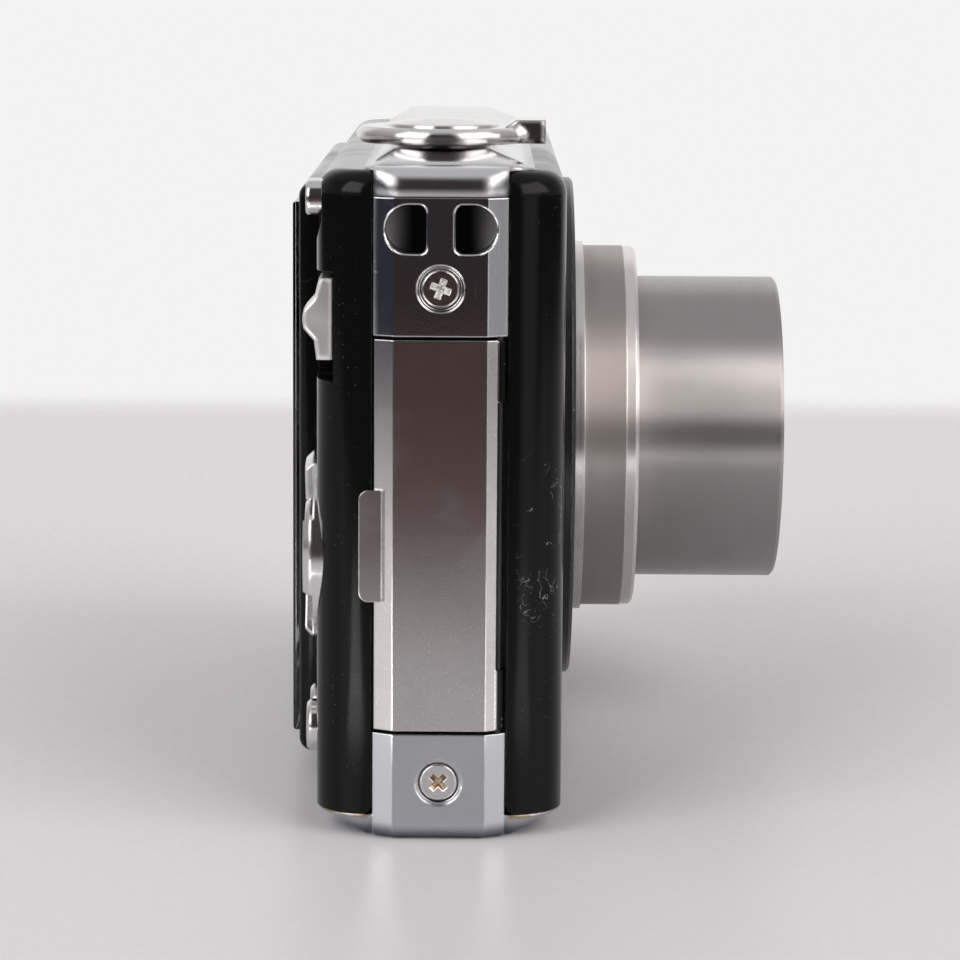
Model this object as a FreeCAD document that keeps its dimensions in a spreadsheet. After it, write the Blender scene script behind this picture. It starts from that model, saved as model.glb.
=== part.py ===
import FreeCAD, Part
import Sketcher
import math
import os
import re

# Slim compact camera with a two-stage zoom lens, drawn with the lens out.
# Origin on the table under the middle of the body, +Z up, lens towards -Y.
# -X is the end that holds the strap bracket and the terminal door.

doc = FreeCAD.newDocument("CompactCamera")

SIZES = {
    # Body and black covers
    "body_width": 92.6,
    "cover_depth": 20.6,
    "corner_flat": 0.1,
    "cover_wall": 1.0,
    "cover_low": 2.0,
    "cover_top": 55.5,
    "cover_top_edge": 2.0,
    "cover_corner": 0.9,
    "seam": 0.1,
    "slide_gap": 0.1,
    # Silver band round the middle
    "band_depth": 11.0,
    "band_bevel": 1.65,
    "band_drop": 0.9,
    "piece_gap": 0.3,
    # Bottom frame
    "base_fall": 4.0,
    "base_inset": 0.1,
    "base_lip": 0.2,
    "base_edge": 1.5,
    "low_end_top": 9.0,
    "side_drop": 2.1,
    # Top cover
    "top_rise": 1.5,
    "top_fall": 6.8,
    "top_flat_front": 4.0,
    "top_flat_rear": 4.0,
    "top_front_inset": 2.6,
    "top_rear_inset": 3.8,
    "top_corner": 3.0,
    "top_corner_bulge": 0.35,
    "top_flat_corner": 0.2,
    "cap_round": 1.9,
    "cap_rise": 0.4,
    "cap_gap": 0.1,
    "cap_depth": 2.6,
    # Strap bracket
    "strap_height": 11.3,
    "strap_thick": 4.4,
    "strap_bar": 2.4,
    "strap_bar_thick": 1.4,
    "strap_hole_height": 3.9,
    "strap_hole_width": 3.35,
    "strap_hole_drop": 2.6,
    "strap_tunnel": 2.2,
    "strap_hole_corner": 0.6,
    "strap_hole_rim": 0.15,
    # End screws
    "screw_head": 1.65,
    "screw_head_thick": 0.7,
    "screw_shank": 0.85,
    "screw_length": 3.4,
    "screw_dish": 1.95,
    "screw_sink": 0.15,
    "upper_screw_drop": 7.4,
    "lower_screw_drop": 4.05,
    # Terminal door
    "door_front_gap": 0.8,
    "door_rear_gap": 0.1,
    "door_thick": 1.2,
    "door_pin_inset": 0.95,
    "door_pin_ahead": 0.15,
    "door_pin_radius": 0.3,
    "door_knuckle": 0.55,
    "door_knuckle_length": 5.0,
    "tab_length": 9.3,
    "tab_drop": 0.8,
    "tab_out": 1.25,
    "tab_thick": 0.65,
    "tab_corner": 0.8,
    "carrier_thick": 0.6,
    "carrier_margin": 1.0,
    # Terminal panel and sockets
    "panel_thick": 1.0,
    "panel_half": 6.2,
    "socket_depth": 4.2,
    "socket_wall": 0.35,
    "digital_height": 7.7,
    "digital_width": 3.9,
    "digital_rise": 6.45,
    "av_height": 6.4,
    "av_width": 3.4,
    "av_drop": 6.55,
    # Lens, about its own axis
    "lens_drop": 1.35,
    "surround_width": 6.6,
    "surround_proud": 1.7,
    "surround_lap": 2.05,
    "surround_edge": 0.3,
    "trim_width": 1.65,
    "trim_flange": 1.3,
    "trim_wall": 0.4,
    "trim_proud": 2.75,
    "base_tube_wall": 2.05,
    "base_plate_front": 5.0,
    "base_plate_thick": 1.6,
    "outer_radius": 17.55,
    "outer_wall": 1.05,
    "outer_front": 18.1,
    "outer_length": 15.5,
    "outer_lip": 1.2,
    "outer_band_step": 0.085,
    "stage_step": 2.95,
    "inner_wall": 1.0,
    "stage_hold": 0.5,
    "inner_length": 16.8,
    "inner_flange": 1.4,
    "running_fit": 0.1,
    "rim_edge": 0.3,
    # Front group and barrier
    "front_ring_set": 0.5,
    "front_ring_thick": 0.5,
    "aperture": 5.6,
    "blade_radius": 6.5,
    "blade_thick": 0.35,
    "blade_pivot_inset": 4.1,
    "blade_pin": 0.6,
    "blade_fit": 0.05,
    "blade_gap": 0.15,
    "blade_swing": 32.0,
    "blade_arm": 1.3,
    "cell_length": 5.6,
    "cell_wall": 1.2,
    "cell_face": 1.2,
    "front_lens_radius": 6.9,
    "front_lens_thick": 4.4,
    "front_lens_curve": 14.0,
    # Focus group and sensor
    "focus_front": 1.4,
    "focus_length": 2.8,
    "focus_cell": 7.4,
    "focus_lens_radius": 5.6,
    "focus_lens_curve": 18.0,
    "rod_circle": 10.5,
    "rod_radius": 0.6,
    "rod_front": 6.5,
    "ear_width": 3.2,
    "ear_thick": 1.0,
    "sensor_width": 11.0,
    "sensor_height": 9.0,
    "sensor_board_width": 19.0,
    "sensor_board_height": 16.0,
    "board_thick": 0.6,
    # Zoom motor
    "motor_side": 0.95,
    "motor_drop": 2.25,
    "motor_radius": 2.9,
    "motor_length": 12.0,
    "gear_case_depth": 4.0,
    # Screen on the back
    "screen_nav_room": 10.5,
    "screen_far_inset": 3.4,
    "screen_foot": 0.3,
    "screen_head": 2.4,
    "screen_proud": 2.4,
    "screen_corner": 1.2,
    "window_margin": 1.7,
    "window_proud": 0.6,
    "window_thick": 1.1,
    "module_thick": 3.4,
    "chassis_inset": 2.5,
    "chassis_thick": 0.5,
    # Controls on the back
    "nav_inset": 10.6,
    "nav_rise": 21.1,
    "nav_radius": 8.0,
    "nav_bore": 4.15,
    "nav_proud": 1.15,
    "nav_level": 0.35,
    "nav_valley": 42.0,
    "nav_flange": 8.6,
    "nav_flange_gap": 0.35,
    "nav_flange_thick": 0.2,
    "nav_flange_side": 6.1,
    "nav_hole_gap": 0.25,
    "gimbal_radius": 6.4,
    "gimbal_gap": 0.25,
    "gimbal_thick": 0.15,
    "set_radius": 3.9,
    "set_proud": 1.2,
    "round_button": 2.2,
    "round_proud": 0.95,
    "round_rise": 6.0,
    "round_spacing": 6.5,
    "button_edge": 0.3,
    "button_flange": 0.6,
    "flange_gap": 0.15,
    "flange_thick": 0.3,
    "share_inset": 5.9,
    "share_drop": 2.5,
    "share_width": 5.2,
    "share_height": 2.9,
    "share_proud": 0.9,
    "scoop_radius": 3.8,
    "scoop_depth": 0.45,
    "switch_length": 6.7,
    "switch_drop": 8.9,
    "switch_depth": 1.5,
    "switch_proud": 1.05,
    "switch_inset": 1.4,
    "switch_width": 5.4,
    "switch_slope": 1.6,
    "switch_ridge": 0.8,
    "notch_travel": 1.8,
    "notch_room": 0.5,
    "notch_side": 0.4,
    "notch_wall": 1.5,
    # Controls on the top
    "ring_inset": 13.3,
    "ring_radius": 7.3,
    "ring_bore": 4.75,
    "ring_lift": 0.25,
    "ring_thick": 1.35,
    "ring_web": 0.35,
    "ring_edge": 0.45,
    "hub_radius": 4.0,
    "hub_bore": 2.9,
    "hub_drop": 0.9,
    "lever_past": 1.3,
    "lever_start": 5.2,
    "lever_width": 5.0,
    "lever_rise": 0.6,
    "shutter_radius": 4.55,
    "shutter_rise": 0.7,
    "shutter_thick": 1.0,
    "shutter_curve": 19.0,
    "shutter_stem": 2.7,
    "shutter_stem_drop": 0.55,
    "power_room": 17.5,
    "power_length": 7.2,
    "power_width": 3.6,
    "power_proud": 0.3,
    "pill_gap": 0.15,
    # Battery door in the bottom
    "hatch_past": 1.3,
    "hatch_before": 0.6,
    "hatch_half": 7.8,
    "hatch_gap": 0.2,
    "hatch_sink": 0.1,
    "hatch_axis_room": 1.3,
    "hatch_axis_z": 1.2,
    "hatch_barrel": 1.15,
    "hatch_barrel_half": 5.4,
    "hatch_pin_radius": 0.35,
    "hatch_pin_half": 7.2,
    "latch_inset": 4.2,
    "latch_length": 4.0,
    "latch_width": 3.4,
    "latch_travel": 2.0,
    "latch_recess": 0.9,
    "latch_plate": 0.4,
    # Battery, card and their holders
    "battery_width": 28.4,
    "battery_thick": 7.2,
    "battery_front_room": 1.3,
    "battery_lift": 0.5,
    "battery_height": 36.5,
    "battery_gap": 0.2,
    "battery_room": 5.1,
    "lens_room": 0.6,
    "box_wall": 0.4,
    "hook_place": 14.1,
    "hook_width": 4.0,
    "hook_reach": 0.45,
    "card_width": 24.0,
    "card_height": 32.0,
    "card_thick": 2.1,
    "card_place": 1.1,
    "card_front": 1.6,
    "card_lift": 0.8,
    "slot_wall": 0.3,
    # Boards and electrical parts
    "board_room": 3.0,
    "board_inset": 3.8,
    "board_drop": 3.5,
    "power_board_room": 2.8,
    "power_board_width": 13.4,
    "post_radius": 1.1,
    "top_board_drop": 2.0,
    "top_board_front": 5.0,
    "key_board_thick": 0.3,
    "capacitor_radius": 4.5,
    "capacitor_inset": 7.8,
    "capacitor_rise": 7.0,
    "capacitor_height": 31.0,
    "speaker_inset": 10.8,
    "speaker_drop": 8.5,
    "speaker_radius": 5.4,
    "speaker_thick": 2.6,
    # Flash and focus lamp
    "flash_inset": 18.9,
    "flash_drop": 9.3,
    "flash_width": 14.5,
    "flash_height": 7.2,
    "flash_gap": 0.1,
    "flash_corner": 1.2,
    "reflector_depth": 4.2,
    "reflector_wall": 0.4,
    "flash_tube": 1.0,
    "lamp_room": 11.7,
    "lamp_drop": 6.3,
    "lamp_radius": 2.2,
    # Tripod bush
    "tripod_from_end": 9.4,
    "tripod_bore": 2.55,
    "tripod_tube": 4.2,
    "tripod_flange": 5.4,
    "tripod_length": 6.5,
    "tripod_inset": 0.1,
}

# Places that follow from the sizes, so that a piece moves with the ones it sits in.

PLACES = {
    # Covers, band and top cover
    "cover_half": "body_width / 2 - band_drop",
    "band_flat": "band_depth - 2 * band_bevel",
    "cover_radius": "(cover_depth - band_depth) / 2 - seam - corner_flat",
    "base_depth": "cover_depth - 2 * base_inset",
    "base_flat": "base_depth - 2 * base_fall",
    "base_rise": "cover_low - base_lip",
    "side_top": "cover_top - side_drop",
    "top_height": "cover_top + top_rise",
    "top_rear": "cover_depth / 2 - top_rear_inset",
    "top_front": "cover_depth / 2 - top_front_inset",
    "top_length": "body_width - 2 * cap_round",
    "top_flat_length": "body_width - 2 * top_fall",
    "cap_low": "side_top + cap_gap",
    "cap_high": "cover_top + cap_rise",
    # Strap bracket, end screws and terminal door
    "strap_low": "side_top - strap_height",
    "strap_hole_middle": "side_top - strap_hole_drop",
    "upper_screw": "side_top - upper_screw_drop",
    "lower_screw": "low_end_top - lower_screw_drop",
    "door_low": "low_end_top + piece_gap",
    "door_high": "strap_low - piece_gap",
    "door_front": "band_depth / 2 - door_front_gap",
    "door_rear": "band_depth / 2 - door_rear_gap",
    "door_pin_front": "door_front + door_pin_ahead",
    "tab_low": "(door_low + door_high) / 2 - tab_drop - tab_length / 2",
    "tab_high": "tab_low + tab_length",
    "tab_reach": "door_rear + tab_out",
    "digital_middle": "(door_low + door_high) / 2 + digital_rise",
    "av_middle": "(door_low + door_high) / 2 - av_drop",
    # Battery, card and their holders
    "battery_near": "cover_half - cover_wall - battery_room - battery_width",
    "battery_low": "cover_low + battery_lift",
    "battery_front": "cover_depth / 2 - cover_wall - battery_front_room",
    "hook_x": "battery_near + hook_place",
    "card_near": "battery_near + card_place",
    "card_low": "cover_low + card_lift",
    # Battery door
    "hatch_far": "battery_near + battery_width + hatch_past",
    "hatch_near": "battery_near - hatch_before",
    "hatch_axis_x": "hatch_near - hatch_axis_room",
    "hatch_thick": "cover_low - hatch_sink",
    "latch_x": "hatch_far - latch_inset",
    # Lens, its surround and the zoom motor
    "trim_outer": "outer_radius + trim_width",
    "trim_lip": "outer_radius + trim_wall",
    "surround_radius": "outer_radius + surround_width",
    "surround_spigot": "surround_radius - surround_lap",
    "lens_x": "outer_radius + running_fit + base_tube_wall + battery_gap"
    " + box_wall + lens_room - battery_near",
    "inner_radius": "outer_radius - stage_step",
    "inner_front": "outer_front - outer_lip - stage_hold - inner_flange + inner_length",
    "blade_pivot": "inner_radius - blade_pivot_inset",
    "lens_z": "(cover_low + cover_top) / 2 - lens_drop",
    "motor_x": "lens_x + outer_radius - motor_side",
    "motor_z": "lens_z - outer_radius - motor_drop",
    # Controls on the back
    "nav_x": "cover_half - nav_inset",
    "nav_z": "cover_low + nav_rise",
    "nav_flange_rear": "cover_depth / 2 - cover_wall - nav_flange_gap",
    "gimbal_rear": "nav_flange_rear - nav_flange_thick - gimbal_gap",
    "round_z": "cover_low + round_rise",
    "share_x": "cover_half - share_inset",
    "share_z": "cover_top - share_drop",
    "switch_high": "cover_top - switch_drop",
    "switch_low": "switch_high - switch_length",
    "switch_floor": "cover_depth / 2 - switch_depth",
    "switch_peak": "cover_depth / 2 + switch_proud",
    "switch_side": "cover_half - switch_inset",
    "switch_inner": "switch_side - switch_width",
    "notch_low": "switch_low - notch_travel",
    "notch_high": "switch_high + notch_room",
    "notch_inner": "switch_inner - notch_side",
    # Screen and chassis
    "screen_near": "nav_x - screen_nav_room",
    "screen_far": "cover_half - screen_far_inset",
    "screen_low": "cover_low + screen_foot",
    "screen_high": "cover_top - screen_head",
    "chassis_rear": "cover_depth / 2 - chassis_inset",
    # Controls on the top
    "ring_x": "body_width / 2 - ring_inset",
    "ring_low": "top_height + ring_lift",
    "ring_high": "ring_low + ring_thick",
    "hub_low": "cover_top - hub_drop",
    "lever_reach": "ring_radius + lever_past",
    "lever_high": "ring_high + lever_rise",
    "shutter_high": "ring_high + shutter_rise",
    "shutter_low": "shutter_high - shutter_thick",
    "shutter_stem_low": "cover_top - shutter_stem_drop",
    "power_x": "ring_x - power_room",
    # Boards and electrical parts
    "main_board_front": "chassis_rear - chassis_thick - board_room",
    "main_board_near": "battery_near - piece_gap",
    "main_board_far": "cover_half - board_inset",
    "main_board_high": "cover_top - board_drop",
    "power_board_front": "main_board_front - power_board_room",
    "power_board_near": "cover_half - cover_wall - power_board_width",
    "top_board_low": "cover_top - top_board_drop",
    "capacitor_x": "cover_half - capacitor_inset",
    "capacitor_low": "cover_low + capacitor_rise",
    "speaker_x": "cover_half - speaker_inset",
    "speaker_z": "cover_top - speaker_drop",
    # Flash, focus lamp and tripod bush
    "flash_x": "cover_half - flash_inset",
    "flash_z": "cover_top - flash_drop",
    "lamp_x": "flash_x - lamp_room",
    "lamp_z": "cover_top - lamp_drop",
    "tripod_x": "cover_half - tripod_from_end",
}


def bound(text):
    """The text of a size, with every alias spelled out for the document."""
    return re.sub(r"[a-z][a-z_0-9]*", lambda word: spelled(word.group(0)), text)


def spelled(word):
    if word in SIZES:
        return "Sizes." + word
    if word in PLACES:
        return "Places." + word
    return word


def fill_sheet(label, entries):
    """Spreadsheet with a name in each row of column A and its aliased value in column B."""
    sheet = doc.addObject("Spreadsheet::Sheet", label)
    for row, (alias, entry) in enumerate(entries.items(), start=1):
        sheet.set("A%d" % row, alias)
        sheet.set("B%d" % row, entry)
        sheet.setAlias("B%d" % row, alias)
    return sheet


sizes = fill_sheet("Sizes", {alias: str(value) for alias, value in SIZES.items()})
doc.recompute()
places = fill_sheet("Places", {alias: "=" + bound(text) for alias, text in PLACES.items()})
doc.recompute()


def size(alias):
    sheet = sizes if alias in SIZES else places
    return float(sheet.get(alias))


# Helpers for bodies built from sketches. An axis is X, Y or Z; the two sketch
# directions are then (Y, Z), (X, Z) or (X, Y).

PLANES = {"X": "YZ_Plane", "Y": "XZ_Plane", "Z": "XY_Plane"}


def new_body(label):
    body = doc.addObject("PartDesign::Body", label)
    body.Label = label
    return body


def sketch_on(body, axis, place):
    sketch = body.newObject("Sketcher::SketchObject", body.Name + "_sketch")
    origin_plane = [item for item in body.Origin.OriginFeatures if item.Role == PLANES[axis]][0]
    sketch.AttachmentSupport = (origin_plane, [""])
    sketch.MapMode = "FlatFace"
    height = "-(%s)" % place if axis == "Y" else place
    sketch.setExpression("AttachmentOffset.Base.z", bound(height))
    return sketch


def fix(sketch, kind, element, point, text):
    """Tie one coordinate of a point of the sketch to a size."""
    index = sketch.addConstraint(Sketcher.Constraint(kind, -1, 1, element, point, 1.0))
    sketch.setExpression("Constraints[%d]" % index, bound(text))


def draw_polygon(sketch, corners):
    first = sketch.GeometryCount
    count = len(corners)
    turn = 2 * math.pi / count
    ring = [FreeCAD.Vector(math.cos(turn * k), math.sin(turn * k), 0) for k in range(count)]
    for k in range(count):
        sketch.addGeometry(Part.LineSegment(ring[k], ring[(k + 1) % count]), False)
    for k, (across, up) in enumerate(corners):
        after = first + (k + 1) % count
        sketch.addConstraint(Sketcher.Constraint("Coincident", first + k, 2, after, 1))
        fix(sketch, "DistanceX", first + k, 1, across)
        fix(sketch, "DistanceY", first + k, 1, up)


def draw_circle(sketch, across, up, radius):
    circle = sketch.addGeometry(Part.Circle(FreeCAD.Vector(), FreeCAD.Vector(0, 0, 1), 1), False)
    fix(sketch, "DistanceX", circle, 3, across)
    fix(sketch, "DistanceY", circle, 3, up)
    index = sketch.addConstraint(Sketcher.Constraint("Radius", circle, 1.0))
    sketch.setExpression("Constraints[%d]" % index, bound(radius))


def rectangle(left, low, right, high):
    return [(left, low), (right, low), (right, high), (left, high)]


def draw(sketch, shapes):
    """Draw each shape: a circle is (across, up, radius), anything else a list of corners."""
    for shape in shapes:
        if isinstance(shape, tuple):
            draw_circle(sketch, *shape)
        else:
            draw_polygon(sketch, shape)


def add(body, axis, low, high, *shapes):
    """Add the shapes to the body, drawn out along the axis from low to high."""
    sketch = sketch_on(body, axis, high if axis == "Y" else low)
    draw(sketch, shapes)
    pad = body.newObject("PartDesign::Pad", body.Name + "_pad")
    pad.Profile = sketch
    pad.setExpression("Length", bound("(%s) - (%s)" % (high, low)))
    sketch.Visibility = False
    doc.recompute()
    return pad


def cut(body, axis, low, high, *shapes):
    """Cut the shapes out of the body along the axis from low to high."""
    before = body.Shape.Volume
    sketch = sketch_on(body, axis, low if axis == "Y" else high)
    draw(sketch, shapes)
    pocket = body.newObject("PartDesign::Pocket", body.Name + "_pocket")
    pocket.Profile = sketch
    pocket.setExpression("Length", bound("(%s) - (%s)" % (high, low)))
    doc.recompute()
    if body.Shape.Volume > before - 1e-6:
        raise RuntimeError("a cut in %s takes nothing away" % body.Label)
    return pocket


def turn(body, axis, across, along, profile):
    """Turn a profile of (radius, place) corners about a line along the axis Y or Z."""
    sketch = body.newObject("Sketcher::SketchObject", body.Name + "_sketch")
    role = "XY_Plane" if axis == "Y" else "XZ_Plane"
    origin_plane = [item for item in body.Origin.OriginFeatures if item.Role == role][0]
    sketch.AttachmentSupport = (origin_plane, [""])
    sketch.MapMode = "FlatFace"
    sketch.setExpression("AttachmentOffset.Base.x", bound(across))
    sketch.setExpression("AttachmentOffset.Base.z", bound(along))
    draw_polygon(sketch, profile)
    revolution = body.newObject("PartDesign::Revolution", body.Name + "_turned")
    revolution.Profile = sketch
    revolution.ReferenceAxis = (sketch, ["V_Axis"])
    revolution.Angle = 360
    doc.recompute()
    return revolution


def turned_piece(label, axis, across, along, profile):
    body = new_body(label)
    turn(body, axis, across, along, profile)
    return body


def lens_piece(label, profile):
    """A round piece about the lens axis; places are distances in front of the mid-plane."""
    flipped = [(radius, "-(%s)" % place) for radius, place in profile]
    return turned_piece(label, "Y", "lens_x", "lens_z", flipped)


def dress(body, kind, name, size_property, amount, test):
    """Round or chamfer every edge of the body that passes the test."""
    base = body.Tip
    edges = ["Edge%d" % (k + 1) for k, edge in enumerate(base.Shape.Edges) if test(edge)]
    if not edges:
        raise RuntimeError("no edge to %s on %s" % (name, body.Label))
    feature = body.newObject("PartDesign::" + kind, body.Name + "_" + name)
    feature.Base = (base, edges)
    feature.setExpression(size_property, bound(amount))
    doc.recompute()
    return feature


def round_edges(body, radius, test):
    return dress(body, "Fillet", "rounded", "Radius", radius, test)


def runs(edge, axis):
    """True for a straight edge along the axis."""
    box = edge.BoundBox
    spans = {"X": box.XLength, "Y": box.YLength, "Z": box.ZLength}
    rest = [span for name, span in spans.items() if name != axis]
    return spans[axis] > 1e-3 and max(rest) < 1e-3


def lies_at(edge, axis, place):
    """True for an edge that lies wholly at one place on the axis."""
    box = edge.BoundBox
    low = {"X": box.XMin, "Y": box.YMin, "Z": box.ZMin}[axis]
    high = {"X": box.XMax, "Y": box.YMax, "Z": box.ZMax}[axis]
    return abs(low - place) < 1e-3 and abs(high - place) < 1e-3


def hollow_out(body, wall, axis, place):
    """Turn the body into a shell open on the flat face at one place on the axis."""
    base = body.Tip
    index = {"X": 0, "Y": 1, "Z": 2}[axis]
    faces = []
    for k, face in enumerate(base.Shape.Faces):
        flat = isinstance(face.Surface, Part.Plane) and abs(face.Surface.Axis[index]) > 0.999
        if flat and abs(face.CenterOfMass[index] - place) < 1e-3:
            faces.append("Face%d" % (k + 1))
    shell = body.newObject("PartDesign::Thickness", body.Name + "_shell")
    shell.Base = (base, faces)
    shell.setExpression("Value", bound(wall))
    shell.Reversed = True
    doc.recompute()
    return shell


# Helpers for pieces built from plain solids.


def box(label, left, right, front, rear, low, high):
    block = doc.addObject("Part::Box", label)
    block.Label = label
    block.setExpression("Length", bound("(%s) - (%s)" % (right, left)))
    block.setExpression("Width", bound("(%s) - (%s)" % (rear, front)))
    block.setExpression("Height", bound("(%s) - (%s)" % (high, low)))
    for letter, place in (("x", left), ("y", front), ("z", low)):
        block.setExpression("Placement.Base." + letter, bound(place))
    return block


TURNS = {
    "X": FreeCAD.Rotation(FreeCAD.Vector(0, 1, 0), 90),
    "Y": FreeCAD.Rotation(FreeCAD.Vector(1, 0, 0), -90),
    "Z": FreeCAD.Rotation(),
}


def rod(label, axis, x, y, z, radius, length):
    """A round bar that starts at a point and runs along the axis."""
    bar = doc.addObject("Part::Cylinder", label)
    bar.Label = label
    bar.Placement.Rotation = TURNS[axis]
    bar.setExpression("Radius", bound(radius))
    bar.setExpression("Height", bound(length))
    for letter, place in (("x", x), ("y", y), ("z", z)):
        bar.setExpression("Placement.Base." + letter, bound(place))
    return bar


def ball(label, x, y, z, radius):
    sphere = doc.addObject("Part::Sphere", label)
    sphere.setExpression("Radius", bound(radius))
    for letter, place in (("x", x), ("y", y), ("z", z)):
        sphere.setExpression("Placement.Base." + letter, bound(place))
    return sphere


def joined(label, parts):
    whole = doc.addObject("Part::MultiFuse", label)
    whole.Label = label
    whole.Shapes = parts
    whole.Refine = True
    return whole


def common(label, parts):
    shared = doc.addObject("Part::MultiCommon", label)
    shared.Label = label
    shared.Shapes = parts
    return shared


def cut_away(label, base, *tools):
    """The base with every tool cut out of it."""
    result = doc.addObject("Part::Cut", label)
    result.Base = base
    result.Tool = tools[0] if len(tools) == 1 else joined(label + "_tools", list(tools))
    result.Refine = True
    result.Label = label
    return result


def group(label, parts):
    """Like pieces that share one node, as separate solids."""
    whole = doc.addObject("Part::Compound", label)
    whole.Label = label
    whole.Links = parts
    return whole


def placed_shape(label, shape):
    piece = doc.addObject("Part::Feature", label)
    piece.Label = label
    piece.Shape = shape
    piece.Placement = FreeCAD.Placement()
    return piece


# Places that several pieces share.

END = "body_width / 2"
COVER_END = "cover_half"
INNER_END = "(cover_half - cover_wall)"
COVER_FACE = "(cover_depth / 2)"
INNER_FACE = "(cover_depth / 2 - cover_wall)"
SEAM = "(band_depth / 2 + seam)"
BOARD_REAR = "(main_board_front + board_thick)"
CHASSIS_FRONT = "(chassis_rear - chassis_thick)"
KEY_BOARD_REAR = "(chassis_rear + key_board_thick)"


# Black front and rear covers


def cover_tray(label, front, rear, open_side):
    """Shallow tray with rounded ends that is open towards the band."""
    body = new_body(label)
    add(body, "Z", "cover_low", "cover_top", rectangle("-" + COVER_END, front, COVER_END, rear))
    outer = size("cover_depth") / 2 * open_side
    round_edges(body, "cover_radius", lambda edge: runs(edge, "Z") and lies_at(edge, "Y", outer))
    seam_place = (size("band_depth") / 2 + size("seam")) * open_side
    hollow_out(body, "cover_wall", "Y", seam_place)
    top = size("cover_top")
    round_edges(
        body,
        "cover_top_edge",
        lambda edge: lies_at(edge, "Z", top) and not lies_at(edge, "Y", seam_place),
    )
    low = size("cover_low")
    round_edges(
        body,
        "cover_corner",
        lambda edge: runs(edge, "X") and lies_at(edge, "Z", low) and lies_at(edge, "Y", seam_place),
    )
    return body


def make_front_cover():
    body = cover_tray("front_cover", "-" + COVER_FACE, "-" + SEAM, -1)
    cut(
        body,
        "Y",
        "-%s - cover_wall" % COVER_FACE,
        "-%s + cover_wall" % INNER_FACE,
        ("lens_x", "lens_z", "surround_spigot + seam"),
        ("-lamp_x", "lamp_z", "lamp_radius + flash_gap"),
        rectangle(
            "-flash_x - flash_width / 2",
            "flash_z - flash_height / 2",
            "-flash_x + flash_width / 2",
            "flash_z + flash_height / 2",
        ),
    )
    cut(
        body,
        "Z",
        "cover_low - seam",
        "cover_low + cover_wall + seam",
        rectangle("-hatch_far", "-%s + piece_gap" % INNER_FACE, "-hatch_near", "-band_depth / 2"),
    )
    left = -size("flash_x") - size("flash_width") / 2
    right = -size("flash_x") + size("flash_width") / 2
    round_edges(
        body,
        "flash_corner",
        lambda edge: runs(edge, "Y") and (lies_at(edge, "X", left) or lies_at(edge, "X", right)),
    )
    return body


def make_rear_cover():
    body = cover_tray("rear_cover", SEAM, COVER_FACE, 1)
    add(
        body,
        "Z",
        "notch_low - notch_wall",
        "notch_high + notch_wall",
        [
            ("-%s + seam" % INNER_END, "switch_floor - notch_wall"),
            ("-%s + seam" % INNER_END, "switch_floor - notch_wall / 2"),
            ("-switch_side + notch_wall", "%s + cover_wall / 2" % INNER_FACE),
            ("-notch_inner + notch_wall", "%s + cover_wall / 2" % INNER_FACE),
            ("-notch_inner + notch_wall", "switch_floor - notch_wall"),
        ],
    )
    cut(
        body,
        "Z",
        "notch_low",
        "notch_high",
        rectangle("-body_width / 2", "switch_floor", "-notch_inner", "cover_depth / 2 + cover_wall"),
    )
    cut(
        body,
        "Y",
        INNER_FACE + " - cover_wall",
        COVER_FACE + " + cover_wall",
        ("-nav_x", "nav_z", "nav_radius + nav_hole_gap"),
        ("-nav_x - round_spacing / 2", "round_z", "round_button + pill_gap"),
        ("-nav_x + round_spacing / 2", "round_z", "round_button + pill_gap"),
        rectangle(
            "-screen_near + window_margin",
            "screen_low + window_margin",
            "screen_far - window_margin",
            "screen_high - window_margin",
        ),
    )
    cut(
        body,
        "Y",
        COVER_FACE + " - scoop_depth",
        COVER_FACE + " + cover_wall",
        ("-share_x", "share_z", "scoop_radius"),
    )
    cut(
        body,
        "Y",
        INNER_FACE + " - cover_wall / 2",
        COVER_FACE + " + cover_wall",
        rectangle(
            "-share_x - share_width / 2 - pill_gap",
            "share_z - share_height / 2 - pill_gap",
            "-share_x + share_width / 2 + pill_gap",
            "share_z + share_height / 2 + pill_gap",
        ),
    )
    return body


# Silver bottom frame with the two end bands, and the top cover


def rounded_outline(half_length, half_depth, radius, height):
    """Closed outline of a rectangle with rounded corners at one height."""
    place = FreeCAD.Vector
    edges = []
    quarter = radius * (1 - math.sqrt(0.5))
    signs = [(1, -1), (1, 1), (-1, 1), (-1, -1)]
    ends = []
    for k, (sx, sy) in enumerate(signs):
        corner = (sx * half_length, sy * half_depth)
        on_end = place(corner[0], corner[1] - sy * radius, height)
        on_side = place(corner[0] - sx * radius, corner[1], height)
        middle = place(corner[0] - sx * quarter, corner[1] - sy * quarter, height)
        start, finish = (on_side, on_end) if k % 2 == 0 else (on_end, on_side)
        ends.append((start, middle, finish))
    for k, (start, middle, finish) in enumerate(ends):
        edges.append(Part.Arc(start, middle, finish).toShape())
        edges.append(Part.LineSegment(finish, ends[(k + 1) % 4][0]).toShape())
    return Part.Wire(edges)


def band_prism(low, high, depth):
    """Band at the -X end between two heights, from its face inwards."""
    face = -size("body_width") / 2
    step = face + size("band_drop")
    flat = size("band_flat") / 2
    edge = size("band_depth") / 2
    corners = [(face, -flat), (face, flat), (step, edge), (face + depth, edge)]
    corners += [(face + depth, -edge), (step, -edge), (face, -flat)]
    wire = Part.makePolygon([FreeCAD.Vector(x, y, low) for x, y in corners])
    return Part.Face(wire).extrude(FreeCAD.Vector(0, 0, high - low))


def mirrored_end(shape):
    return shape.mirror(FreeCAD.Vector(), FreeCAD.Vector(1, 0, 0))


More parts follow.
